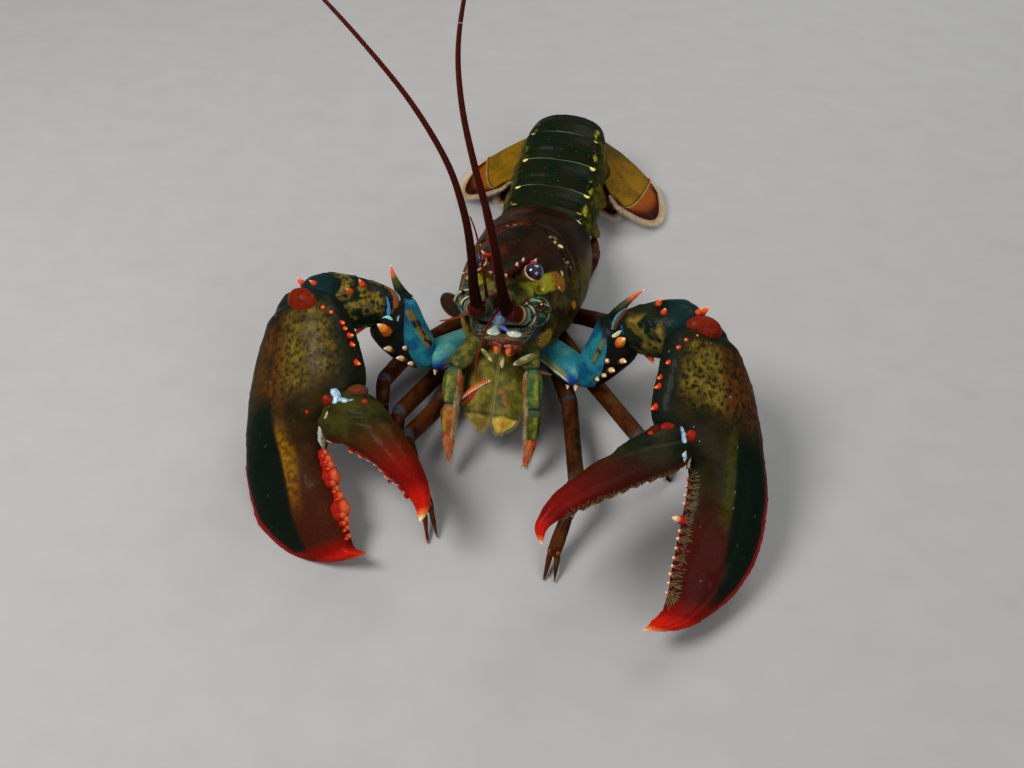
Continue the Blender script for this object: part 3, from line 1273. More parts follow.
def fan_fringes():
    """soft pale hairs along the far edge of every fan blade"""
    draw = random.Random(7)
    rows, columns = FAN_ROWS, FAN_COLUMNS
    first = int(0.64 * rows)
    for name, (root, tip, outward, widths, _, sag) in FAN.items():
        grid, _, _, normal = fan_grid(root, tip, outward, widths, sag)
        edge = [(r, columns - 1) for r in range(first, rows - 1)]
        edge += [(rows - 1, c) for c in range(columns - 1, 0, -1)]
        edge += [(r, 0) for r in range(rows - 1, first, -1)]
        line = np.array([grid[r, c] for r, c in edge])
        spots = np.array([(0.08 + 0.8 * r / rows, 0.1 + 0.8 * c / columns) for r, c in edge])
        run = run_of(line)
        axis = vec((Vector(tip) - Vector(root)).normalized())
        middle = grid[int(0.80 * rows), columns // 2]
        fringe = Fringe()
        count = int(run[-1] / 0.10)
        for k in range(count):
            at = run[-1] * (k + draw.random()) / count
            spot = np.array([np.interp(at, run, line[:, m]) for m in range(3)])
            place = [float(np.interp(at, run, spots[:, m])) for m in range(2)]
            way = spot - middle
            way = way / np.linalg.norm(way) + 0.35 * axis
            way = way - vec(normal) * np.dot(way, vec(normal))
            share = at / run[-1]
            length = 7.2 * (0.35 + 0.65 * math.sin(math.pi * share) ** 0.5) * (0.85 + 0.3 * draw.random())
            lift = (draw.random() - 0.5)
            bend = 0.10 * np.array([draw.random() - 0.5 for m in range(3)])
            start = spot + vec(normal) * lift * 0.5 - way * 0.3
            way = way + vec(normal) * (0.10 * lift)
            way[2] = max(way[2], -0.16)
            start[2] = max(start[2], 0.5)
            fringe.hair(start, way, length, 0.09, bend, colour(164, 84, 28), colour(226, 220, 186), place)
        fringe.object(name + "_fringe", "fan_shell")


# Claws

def claw_local(points, axes):
    """along, across and out-of-face places of points on a claw"""
    origin, along, out, normal = axes
    q = points - vec(origin)
    return q @ vec(along), q @ vec(out), q @ vec(normal)


def edge_shares(points, axes, outline):
    """0 on the inner edge of a claw and 1 on its outer edge"""
    along, across, _ = claw_local(points, axes)
    outer = np.interp(along, [o[0][0] for o in outline], [o[0][1] for o in outline])
    inner = np.interp(along, [o[1][0] for o in outline], [o[1][1] for o in outline])
    share = (across - inner) / np.where(np.abs(outer - inner) < 1.0, 1.0, outer - inner)
    return np.clip(share, 0.0, 1.0)


def claw_grid(axes, outline, finger):
    """claw surface whose last few millimetres close to a point"""
    reach, sharp = (28.0, 0.78) if finger else (20.0, 0.66)
    most = 1.25 if axes is CUTTER_AXES and not finger else 1.0
    grid, ends = rings(claw_stations(axes, outline), 96, 10, 2.3)
    grid = even_columns(even_rows(grid, 0.8), 130 if finger else 230)
    middle = grid.mean(axis=1)
    apart = np.linalg.norm(middle - vec(ends[1]), axis=-1)
    size = np.linalg.norm(grid - middle[:, None, :], axis=-1).mean(axis=1)
    limit = float(np.interp(reach, apart[::-1], size[::-1]))
    wanted = 0.35 + limit * np.clip(apart / reach, 0.0, 1.0) ** sharp
    scale = np.where(apart < reach, np.clip(wanted / np.maximum(size, 0.1), 0.0, most), 1.0)
    return middle[:, None, :] + (grid - middle[:, None, :]) * scale[:, None, None], ends


def tooth(skin, centre, axis, radius, height, pointed, red, tip):
    """molar or pointed tooth on a claw's edge"""
    axis = axis.normalized()
    across = axis.orthogonal().normalized()
    above = axis.cross(across)
    stations = []
    if pointed:
        profile = [(-1.0, 1.05), (0.0, 1.0), (0.35, 0.82), (0.7, 0.5), (0.92, 0.2), (1.0, 0.0)]
    else:
        profile = [(-0.9, 1.26), (0.0, 1.2), (0.3, 1.06), (0.6, 0.82), (0.86, 0.48), (1.0, 0.0)]
    for rise, wide in profile:
        place = centre + axis * (height * rise)
        stations.append(station(place, across * (radius * wide), above * (radius * wide)))
    grid, ends = rings(stations, 20, 4)
    rise = (grid - vec(centre)) @ vec(axis) / height
    grid = grid + normals(grid) * (0.06 * radius * cloud(grid, 1.4, 31))[..., None]
    tint = mix(red, tip, smooth(0.3, 0.9, rise))
    skin.tube(grid, ends, tint, 0.24, 0.2)


def net(points, size, seed):
    """1 on the lines of a fine net and 0 in its dark meshes"""
    places = points + 0.5 * size * np.stack([cloud(points, size, seed + k) for k in (1, 2, 3)], axis=-1)
    distance, _ = cells(places, size, seed)
    worm = smooth(-0.15, 0.25, clouds(places, 0.9 * size, 2, seed + 4))
    return smooth(0.28, 0.54, distance) * (0.45 + 0.55 * worm)


def tip_tint(tint, along, start, end):
    """deep red, red, orange and a pale point towards a finger's end"""
    t = (along - start) / (end - start)
    tint = mix(tint, colour(104, 12, 8), smooth(0.0, 0.45, t))
    tint = mix(tint, colour(172, 22, 10), smooth(0.4, 0.75, t))
    tint = mix(tint, colour(222, 104, 44), smooth(0.80, 0.90, t))
    return mix(tint, colour(244, 226, 180), smooth(0.89, 0.96, t))


def palm_tint(word, grid, along, share, across):
    """gold and rust net near the wrist, a dark outer band with a lit streak, and a red rim"""
    lumps = clouds(grid, 8.0, 4, 43)
    lines = net(grid, 2.6, 44) * (0.55 + 0.45 * smooth(-0.3, 0.2, clouds(grid, 9.0, 3, 45)))
    fine = clouds(grid, 1.8, 2, 46)
    if word == "crusher":
        base = mix(colour(46, 34, 14), colour(28, 24, 12), smooth(-0.3, 0.4, lumps))
        base = mix(base, colour(54, 22, 10), smooth(60.0, 105.0, along))
        gold = window(along, 9.0, 16.0, 44.0, 56.0) * window(share, 0.0, 0.12, 0.42, 0.58)
        rust = window(along, 10.0, 18.0, 48.0, 66.0) * window(share, 0.36, 0.5, 0.72, 0.84)
        line = np.interp(along, [50.0, 62.0, 76.0, 92.0, 108.0, 119.0, 130.0],
                         [16.5, 19.3, 23.2, 25.4, 27.4, 27.0, 25.0])
        off = across - line
        streak = window(off, -7.0, -0.6, 1.0, 3.0) * window(along, 58.0, 74.0, 78.0, 112.0)
        band = smooth(0.8, 4.2, off) * window(along, 38.0, 56.0, 122.0, 134.0)
        edge = np.interp(along, [0.0, 30.0, 60.0, 80.0, 100.0, 122.0, 134.0],
                         [1.2, 0.95, 0.91, 0.89, 0.88, 0.84, 0.4])
        glow = colour(142, 98, 16)
        start, end, dark = 121.0, 136.5, 9.0
    else:
        base = mix(colour(36, 30, 14), colour(22, 22, 12), smooth(-0.3, 0.4, lumps))
        base = mix(base, colour(58, 15, 9), smooth(70.0, 110.0, along))
        gold = window(along, 9.0, 15.0, 36.0, 47.0) * window(share, 0.08, 0.2, 0.5, 0.62)
        rust = window(along, 9.0, 15.0, 38.0, 52.0) * window(share, 0.45, 0.58, 0.93, 1.0)
        line = np.interp(along, [45.0, 53.0, 77.0, 95.0, 113.0, 127.0],
                         [17.5, 19.1, 23.6, 24.3, 25.6, 23.0])
        off = across - line
        streak = 0.6 * window(off, -6.0, -1.0, 1.0, 2.8) * window(along, 44.0, 56.0, 80.0, 104.0)
        band = smooth(0.5, 3.6, off) * window(along, 44.0, 60.0, 120.0, 136.0)
        glow = colour(62, 66, 12)
        edge = np.interp(along, [0.0, 40.0, 75.0, 110.0, 130.0, 144.0], [1.2, 0.94, 0.90, 0.91, 0.88, 0.6])
        start, end, dark = 125.0, 146.0, 8.0
    tint = mix(base, colour(12, 26, 20), 0.7 * smooth(0.16, 0.04, share) * smooth(66.0, 50.0, along))
    tint = mix(tint, colour(116, 98, 32), gold * lines * (0.8 + 0.2 * fine))
    tint = mix(tint, colour(88, 48, 16), 0.9 * rust * lines * (0.8 + 0.2 * fine))
    tint = mix(tint, colour(4, 20, 13), 0.94 * band)
    tint = mix(tint, glow, 0.9 * streak * (0.3 + 0.7 * smooth(-0.35, 0.2, fine)))
    tint = mix(tint, colour(10, 28, 24), 0.9 * smooth(dark + 2.0, dark - 2.0, along))
    rim = mix(colour(46, 14, 8), colour(124, 16, 9), smooth(40.0, 90.0, along))
    tint = mix(tint, rim, smooth(edge - 0.03, edge + 0.02, share))
    flecks, value = cells(grid, 2.2, 47)
    tint = mix(tint, colour(196, 190, 150), 0.4 * smooth(0.13, 0.06, flecks) * smooth(0.84, 0.93, value))
    return tip_tint(tint, along, start, end)


def finger_tint(word, grid, along, share):
    """olive at the root and red towards the tip"""
    lumps = clouds(grid, 7.0, 4, 48)
    if word == "crusher":
        base = mix(colour(52, 50, 14), colour(30, 33, 11), smooth(-0.3, 0.4, lumps))
        base = mix(base, colour(66, 26, 9), smooth(74.0, 94.0, along))
        base = mix(base, colour(104, 16, 8), smooth(88.0, 106.0, along))
        start, end = 98.0, 131.0
    else:
        base = mix(colour(36, 36, 18), colour(20, 24, 14), smooth(-0.3, 0.4, lumps))
        base = mix(base, colour(58, 18, 9), smooth(66.0, 86.0, along))
        base = mix(base, colour(98, 14, 8), smooth(82.0, 102.0, along))
        start, end = 96.0, 120.0
    base = mix(base, colour(130, 24, 12), 0.5 * smooth(0.16, 0.02, share) * smooth(60.0, 72.0, along))
    return tip_tint(base, along, start, end)


def claw_teeth(skin, name, axes):
    """molars or points along the edge of a palm or a finger"""
    finger = name.endswith("finger")
    way = TEETH_WAY[name if finger else "palm"]
    axis = axes[1] * way[0] + axes[2] * way[1]
    red = colour(140, 22, 12)
    for a, c, radius, height, pointed in CLAW_TEETH[name]:
        plain = pointed or finger
        tip = colour(232, 196, 150) if plain else colour(214, 96, 52)
        tooth(skin, claw_point(axes, a, c), axis, radius if plain else 1.2 * radius, height, pointed, red,
              tip)
        for off in () if plain else (-1.0, 1.0):
            spot = claw_point(axes, a + 0.9 * off * radius, c + 0.5, 1.6 * off)
            tooth(skin, spot, axis, radius * 0.75, height * 0.7, False, red, tip)


def palm_spines(skin, word, axes):
    """red spines with pale tips near the inner edge of a palm"""
    for a, c, o, length, lean, lift in PALM_SPINES[word]:
        root = claw_point(axes, a, c, o)
        turn = math.radians(lean)
        go = (axes[1] * math.sin(turn) - axes[2] * math.cos(turn) + axes[3] * lift).normalized()
        add_spine(skin, root, root + go * length, 1.0 + 0.22 * length, colour(130, 20, 10),
                  colour(196, 44, 22),
                  colour(236, 130, 70))


def claw_part(word, part, axes, outline):
    """palm or moving finger of a claw, kept above the floor"""
    name = word + "_" + part
    finger = part == "finger"
    grid, ends = claw_grid(axes, outline, finger)
    out = normals(grid)
    share = edge_shares(grid, axes, outline)
    along, across, _ = claw_local(grid, axes)
    lumps = clouds(grid, 14.0, 3, 41)
    bumps, value = cells(grid, 3.2, 42)
    rough = np.maximum(smooth(0.78, 0.97, share), smooth(0.18, 0.03, share))
    dimples = clouds(grid, 3.0, 2, 49)
    move = 0.45 * lumps + 0.10 * dimples + 0.3 * rough * smooth(0.4, 0.1, bumps) * smooth(0.3, 0.5, value)
    if finger:
        base = outline[0][0][0]
        place = along + 0.45 * across
        move = move - 0.8 * bell(base + 10.0, 1.6, place) + 0.4 * bell(base + 14.0, 2.0, place)
    else:
        stripe = 0.45 if word == "crusher" else 0.5
        move = move - 0.2 * bell(stripe + 0.08, 0.05, share) * smooth(40.0, 60.0, along)
        move = move - 0.8 * bell(4.5, 2.2, along) + 0.5 * bell(9.0, 2.5, along)
    grid = grid + out * move[..., None]
    grid[..., 2] = np.maximum(grid[..., 2], 0.15)
    tint = finger_tint(word, grid, along, share) if finger else palm_tint(word, grid, along, share, across)
    skin = Skin()
    skin.tube(grid, ends, tint, 0.30 + 0.10 * smooth(-0.3, 0.5, dimples), 0.45)
    claw_teeth(skin, name, axes)
    if not finger:
        palm_spines(skin, word, axes)
    skin.object(name + "_shell", SHELL, [name], "claw_shell")


def dome(skin, centre, long_way, short_way, out, sizes, tint, rim=None):
    """low rounded swelling with its own colour and a rim of another"""
    rows, sides = 26, 48
    a, b, n = (vec(v.normalized()) for v in (long_way, short_way, out))
    t = np.linspace(0.0, 1.0, rows)[:, None]
    angle = circle(sides)[None, :]
    wide = np.sin(t * np.pi * 0.62 + 0.05)
    high = np.cos(t * np.pi * 0.62 + 0.05)
    grid = (vec(centre) + (wide * np.cos(angle) * sizes[0])[..., None] * a
            + (wide * np.sin(angle) * sizes[1])[..., None] * b + (high * sizes[2] + 0.0 * angle)[..., None]
            * n)
    lumps = clouds(grid, 2.2, 3, 55)
    grid = grid + (0.18 * lumps)[..., None] * n
    shade = mix(tint, tint * 0.55, smooth(0.0, 0.5, lumps))
    pits, value = cells(grid, 1.2, 58)
    shade = mix(shade, tint * 0.35, smooth(0.34, 0.18, pits) * smooth(0.55, 0.7, value))
    shade = mix(shade, tint * 0.3 if rim is None else rim, smooth(0.70, 0.85, t + 0.0 * angle))
    skin.tube(grid, (vec(centre) + n * sizes[2], grid[-1].mean(axis=0)), shade, 0.26, 0.6)


def membrane(skin, axes, places, radii, tints):
    """soft pale band in the joint of a claw, through places given along, across and out"""
    count, sides = 60, 28
    steps = [k / count for k in range(count + 1)]
    sizes = np.interp(steps, np.linspace(0.0, 1.0, len(radii)), radii)
    grid = swept([claw_point(axes, *place) for place in places], steps, sizes, axes[3], 0.55, sides, 0.02)
    grid = grid + normals(grid) * (0.25 * cloud(grid, 1.2, 56))[..., None]
    run = np.linspace(0.0, 1.0, count + 1)[:, None] * np.ones((1, sides))
    shade = mix(colour(*tints[0]), colour(*tints[1]), run)
    pale = smooth(0.7, 0.3, np.abs(np.cos(circle(sides)))) * smooth(0.0, 0.3, run)
    shade = mix(shade, colour(206, 218, 218), 0.55 * pale)
    shade = mix(shade, shade * 0.45, smooth(0.0, 0.5, clouds(grid, 1.6, 3, 57)))
    skin.tube(grid, end_middles(grid), shade, 0.25, 0.0)


# Red knobs at the wrists: place, long way, short way, way out, sizes and rim colour
WRIST_KNOBS = {
    "cutter": ((99.7, -21.5, 78.1), (1.0, 0.10, -0.12), (0.1, -0.75, -0.66), (0.10, -0.55, 0.83),
               (8.6, 6.2, 4.8), (120, 146, 150)),
    "crusher": ((-94.6, -39.6, 72.4), (1.0, -0.15, 0.1), (0.1, -0.8, -0.6), (0.05, -0.55, 0.84),
                (8.8, 7.0, 5.4), (90, 110, 90)),
}

# Knobs at the finger joints: place on the claw, sizes, colour, rim colour, and how far it is turned across
FINGER_KNOBS = {
    "cutter": [
        ((55.1, -1.2, 8.2), (3.5, 3.0, 3.0), (140, 28, 14), (30, 60, 96), None),
        ((53.9, -11.0, 5.0), (4.8, 2.4, 2.8), (128, 26, 14), (64, 20, 12), 0.4),
        ((56.6, -17.0, 4.0), (3.6, 2.2, 2.2), (66, 22, 12), (40, 18, 10), 0.6),
        ((59.4, -19.2, 4.6), (1.5, 1.5, 1.6), (170, 36, 20), None, None),
    ],
    "crusher": [
        ((60.2, -8.2, 10.6), (3.8, 3.2, 3.4), (124, 34, 18), (30, 70, 100), None),
        ((60.6, -20.0, 3.0), (6.4, 3.8, 4.0), (84, 40, 20), (24, 60, 96), 0.3),
        ((68.3, -24.7, 5.8), (1.7, 1.7, 1.8), (170, 36, 20), None, None),
        ((62.8, 2.0, 14.9), (1.1, 1.1, 1.3), (170, 36, 20), None, None),
    ],
}

# Soft bands at the finger joints: places on the claw, radii, and the colours of the two ends
MEMBRANES = {
    "cutter": [
        ([(50.8, -8.6, 8.2), (54.1, -6.0, 8.8), (58.9, -4.2, 8.8), (62.1, -3.4, 8.5), (66.4, -3.0, 7.4),
          (71.4, -0.9, 2.2)], [0.6, 1.1, 1.3, 1.0, 2.2, 1.6], ((40, 104, 156), (170, 204, 216))),
        ([(54.4, -5.0, 9.0), (51.8, -2.2, 10.4), (52.9, 1.2, 10.9), (57.2, 2.6, 10.2)],
         [0.5, 1.0, 0.9, 0.4], ((140, 184, 204), (40, 104, 156))),
        ([(58.0, -1.4, 8.6), (63.1, 0.6, 6.8), (69.0, 4.2, 1.2)], [0.5, 1.5, 0.9],
         ((60, 40, 24), (134, 112, 74))),
    ],
    "crusher": [
        ([(60.6, -4.8, 13.6), (57.3, -7.4, 13.4), (57.0, -11.4, 11.8), (60.4, -13.8, 10.6),
          (63.9, -11.6, 11.4)],
         [0.5, 0.9, 1.9, 2.3, 1.0], ((40, 104, 156), (140, 184, 204))),
        ([(61.4, -13.4, 10.6), (65.0, -17.6, 10.1), (66.4, -23.2, 6.8)], [1.2, 1.3, 0.6],
         ((140, 184, 204), (40, 104, 156))),
        ([(64.2, -8.8, 11.8), (68.7, -3.9, 11.0), (71.2, 2.0, 7.4), (74.5, 6.4, 4.0), (78.2, 9.8, 0.0)],
         [0.4, 1.1, 2.5, 2.5, 0.9], ((140, 140, 120), (128, 120, 96))),
        ([(74.0, 5.4, 2.4), (76.6, 1.6, 2.0), (78.0, -3.6, 1.6)], [1.6, 2.7, 1.3],
         ((96, 40, 24), (150, 116, 74))),
    ],
}


def claw_joints():
    """knobs and soft bands at the wrist and finger joints of both claws"""
    knobs, soft = Skin(), Skin()
    for word, axes in (("cutter", CUTTER_AXES), ("crusher", CRUSHER_AXES)):
        _, along, out, normal = axes
        place, long_way, short_way, away, sizes, rim = WRIST_KNOBS[word]
        dome(knobs, Vector(place), Vector(long_way), Vector(short_way), Vector(away), sizes,
             colour(104, 28, 10), colour(*rim))
        for place, sizes, tint, rim, turn in FINGER_KNOBS[word]:
            ways = (along, out) if turn is None else (along * turn - out, along + out * turn)
            dome(knobs, claw_point(axes, *place), *ways, normal, sizes, colour(*tint), rim and colour(*rim))
        for places, radii, tints in MEMBRANES[word]:
            membrane(soft, axes, places, radii, tints)
    knobs.object("joint_knobs", SHELL, [], "claw_shell")
    soft.object("claw_membranes", SOFT, [], "claw_shell")


# Arms

def panel(points, a, b):
    """share of the way from a to b, and millimetres across as seen from the front"""
    a, b = Vector(a), Vector(b)
    along = (b - a).normalized()
    view = Vector(VIEW_POINT) - blend(a, b, 0.5)
    face = (view - along * view.dot(along)).normalized()
    q = points - vec(a)
    return q @ vec(along) / (b - a).length, q @ vec(along.cross(face))


def merus_tint(word, grid, t, u, lumps):
    """turquoise inner panel with an ochre streak, dark outer face"""
    dark = mix(colour(24, 20, 12), colour(12, 20, 18), smooth(-0.2, 0.4, lumps))
    blue = mottled(grid, (36, 114, 128), (14, 76, 106), 5.0, 3, 58)
    if word == "cutter":
        line = np.interp(t, [0.0, 0.37, 0.56, 0.74, 0.87, 0.95, 1.14],
                         [7.4, 5.8, 3.5, 0.6, -2.1, -3.4, -6.8])
        inner = smooth(0.5, -0.5, u - line) * smooth(0.96, 0.80, t + 0.05 * lumps)
        middle = np.interp(t, [0.45, 0.7, 0.92], [-0.8, -2.4, -4.2])
        streak = smooth(1.6, 0.7, np.abs(u - middle)) * window(t, 0.38, 0.46, 0.9, 0.98)
    else:
        line = np.interp(t, [0.0, 0.19, 0.44, 0.6, 0.77, 0.9, 1.0], [-8.0, -7.3, -6.3, -3.4, 0.8, 4.5, 7.5])
        inner = smooth(-0.5, 0.5, u - line) * smooth(1.04, 0.92, t + 0.05 * lumps)
        middle = np.interp(t, [0.15, 0.5, 0.85], [4.0, 4.6, 5.4])
        streak = smooth(2.8, 1.2, np.abs(u - middle)) * window(t, 0.12, 0.2, 0.8, 0.9)
    tint = mix(dark, blue, inner)
    tint = mix(tint, colour(50, 120, 176), 0.6 * bell(0.0, 0.7, u - line) * inner)
    bars = smooth(-0.25, 0.15, clouds(grid * np.array((1.0, 1.0, 0.35)), 1.8, 2, 59))
    tint = mix(tint, mix(colour(36, 16, 8), colour(112, 92, 28), bars), 0.95 * streak * inner)
    return tint, inner, streak


def ischium_tint(word, t, u, lumps):
    """turquoise with a blue corner, an ochre line and a pale lower edge"""
    blue = mix(colour(36, 112, 126), colour(76, 134, 124), smooth(-0.3, 0.4, lumps))
    edge = u if word == "cutter" else -u - 1.0
    tint = mix(blue, colour(20, 66, 132), smooth(0.78, 0.95, t) * smooth(1.0, 5.0, edge))
    tint = mix(tint, colour(140, 132, 30), 0.9 * bell(5.6, 1.1, edge) * window(t, 0.25, 0.45, 0.86, 1.0))
    tint = mix(tint, colour(216, 226, 206), 0.9 * bell(7.3, 0.45, edge) * window(t, 0.2, 0.4, 0.9, 0.98))
    return mix(tint, colour(30, 26, 18), smooth(7.6, 8.4, edge))


def carpus_tint(word, grid, t, u, lumps):
    """near-black green with a gold net"""
    tint = mix(colour(12, 22, 18), colour(24, 30, 18), smooth(-0.2, 0.4, lumps))
    tint = mix(tint, colour(12, 40, 44), 0.6 * smooth(0.6, 0.8, t))
    if word == "cutter":
        area = window(t, 0.10, 0.22, 0.60, 0.72) * window(u, -9.0, -4.0, 10.0, 14.0)
        meshes = net(grid, 4.4, 60) * smooth(-0.22, 0.0, clouds(grid, 7.0, 2, 61))
    else:
        area = window(t, 0.05, 0.16, 0.62, 0.74)
        meshes = net(grid, 2.8, 63) * smooth(-0.2, 0.1, clouds(grid, 5.0, 2, 64))
    return mix(tint, colour(118, 100, 34), 0.85 * area * meshes)


def arm_part(word, kind, arm):
    """one of the three pieces between the body and a claw"""
    name = word + "_" + kind
    first = ARM_ORDER.index(kind)
    stations = arm_stations(word, kind, arm)
    axis = (stations[-1][0] - stations[0][0]).normalized()
    grid, ends = rings(stations, 160, 16)
    grid = even_rows(grid, 0.45)
    t, u = panel(grid, arm[first], arm[first + 1])
    lumps = clouds(grid, 7.0, 3, 51)
    bumps, _ = cells(grid, 2.6, 52)
    move = 0.35 * lumps + 0.12 * smooth(0.35, 0.1, bumps)
    if kind == "merus":
        tint, inner, streak = merus_tint(word, grid, t, u, lumps)
        move = move * (1.0 - 0.7 * inner) - 0.7 * inner * (1.0 - streak) + 0.3 * streak * inner
        gloss = 0.30 + 0.08 * inner
    elif kind == "ischium":
        tint = ischium_tint(word, t, u, lumps)
        gloss = 0.34
    else:
        tint = carpus_tint(word, grid, t, u, lumps)
        move = move + 0.35 * smooth(0.12, 0.0, np.abs(clouds(grid, 9.0, 2, 65)))
        gloss = 0.32
    grid = grid + normals(grid) * move[..., None]
    slot = "claw_shell" if kind == "carpus" else "arm_shell"
    skin = Skin()
    skin.tube(grid, ends, tint, gloss, 0.4)
    if name in ARM_HORNS:
        horn(skin, *(Vector(p) for p in ARM_HORNS[name]))
    for place, degrees, length, lean in ARM_SPINES[name]:
        root, outward = surface_place(stations, place, degrees)
        turn = math.radians(lean)
        go = (outward * math.cos(turn) + axis * math.sin(turn)).normalized()
        large = length > 5.5
        if kind == "carpus":
            shades = (colour(120, 40, 16), colour(206, 70, 30), colour(236, 150, 90))
        elif large:
            shades = (colour(150, 70, 20), colour(216, 124, 40), colour(240, 200, 140))
        else:
            shades = (colour(70, 44, 24), colour(216, 170, 120), colour(238, 226, 196))
        wide = (0.95 + 0.2 * length) * (1.25 if large else 1.0)
        add_spine(skin, root, root + go * length, wide, *shades)
    skin.object(name + "_shell", SHELL, [name], slot)


def horn(skin, root, middle, tip):
    """long curved horn that runs from dark green to orange and a pale tip"""
    rows, sides = 40, 32
    grid, ends = cone(root, tip, 3.1, middle * 2.0 - (root + tip) * 0.5, rows, sides)
    run = np.linspace(-0.25, 1.0, rows)[:, None] * np.ones((1, sides))
    shade = mix(colour(16, 26, 20), colour(60, 66, 34), smooth(0.1, 0.5, run))
    shade = mix(shade, colour(190, 84, 40), smooth(0.52, 0.72, run))
    shade = mix(shade, colour(226, 80, 40), smooth(0.74, 0.88, run))
    skin.tube(grid, ends, mix(shade, WHITE, smooth(0.93, 0.99, run)), 0.2)


def arm_joints():
    """soft blue bands and pale plates where each arm bends at its elbow"""
    soft = Skin()
    for points, radii, tint in ELBOW_BANDS:
        bent(soft, points, radii, 0.6, colour(*tint), 20, 40, 0.25)
    soft.object("elbow_bands", SOFT, [], "arm_shell")


def claw_bristles():
    """short stiff tufts in rows beside the teeth of the slender claw"""
    draw = random.Random(11)
    fringe = Fringe()
    axes = CUTTER_AXES
    for part, outline, first, last in (("palm", CUTTER_PALM, 62.0, 138.0),
                                       ("finger", CUTTER_FINGER, 50.0, 116.0)):
        grid, _ = claw_grid(axes, outline, part == "finger")
        out = normals(grid)
        along, _, _ = claw_local(grid, axes)
        line = np.array([vec(claw_point(axes, t[0], t[1])) for t in CLAW_TEETH["cutter_" + part]])
        apart = np.min(np.linalg.norm(grid[:, :, None, :] - line[None, None, :, :], axis=-1), axis=2)
        facing = out @ vec(axes[3])
        beside = (apart > 2.2) & (apart < 6.4) & (facing > 0.15)
        rows, columns = np.nonzero(beside & (along > first) & (along < last))
        order = list(range(len(rows)))
        draw.shuffle(order)
        kept = []
        for k in order:
            spot = grid[rows[k], columns[k]]
            if len(kept) and np.min(np.linalg.norm(np.array(kept) - spot, axis=1)) < 1.25:
                continue
            kept.append(spot)
            near = line[np.argmin(np.linalg.norm(line - spot, axis=1))]
            pull = (near - spot) / max(np.linalg.norm(near - spot), 0.5)
            way = 0.45 * out[rows[k], columns[k]] + 0.9 * pull
            place = (0.1 + 0.8 * rows[k] / len(grid), 0.1 + 0.8 * columns[k] / grid.shape[1])
            for n in range(7):
                lean = 0.30 * np.array([draw.random() - 0.5 for m in range(3)])
                shift = 0.5 * np.array([draw.random() - 0.5 for m in range(3)])
                length = 1.8 + 0.9 * draw.random()
                fringe.hair(spot + shift, way + lean, length, 0.11, lean * 0.3, colour(70, 58, 34),
                            colour(136, 122, 82), place)
    fringe.object("claw_bristles", "claw_shell")


def surface_place(stations, t, degrees):
    """place on a form's surface and the direction out of it there"""
    place = min(max(t, 0.0), 1.0) * (len(stations) - 1)
    k = min(int(place), len(stations) - 2)
    centre, side, top, bottom = (blend(a, b, place - k) for a, b in zip(stations[k], stations[k + 1]))
    c = math.cos(math.radians(degrees))
    s = math.sin(math.radians(degrees))
    reach = top if s >= 0.0 else bottom
    point = centre + side * c + reach * abs(s)
    outward = side * (c / side.length_squared) + reach * (abs(s) / reach.length_squared)
    return point, outward.normalized()


# Legs

def leg_piece(skin, a, b, sections, tint, end_tint):
    """one length of a leg, kept above the floor"""
    grid, ends = rings(limb_stations(a, b, (0.0, 0.0, 1.0), sections), 40, 6)
    grid = even_rows(grid, 0.9)
    out = normals(grid)
    lumps = clouds(grid, 4.0, 3, 61)
    grid = grid + out * (0.2 * lumps)[..., None]
    grid[..., 2] = np.maximum(grid[..., 2], 0.05)
    run = np.linspace(0.0, 1.0, len(grid))[:, None] * np.ones((1, 40))
    shade = mix(tint * 0.62, tint * 0.25, smooth(-0.2, 0.5, clouds(grid, 6.0, 3, 62)))
    shade = mix(shade, colour(64, 58, 26), 0.5 * smooth(0.1, 0.5, clouds(grid, 3.5, 3, 66)))
    shade = mix(shade, end_tint, 0.28 * np.maximum(smooth(0.14, 0.04, run), smooth(0.9, 0.98, run)))
    skin.tube(grid, ends, shade, 0.4 + 0.05 * lumps, 0.3)


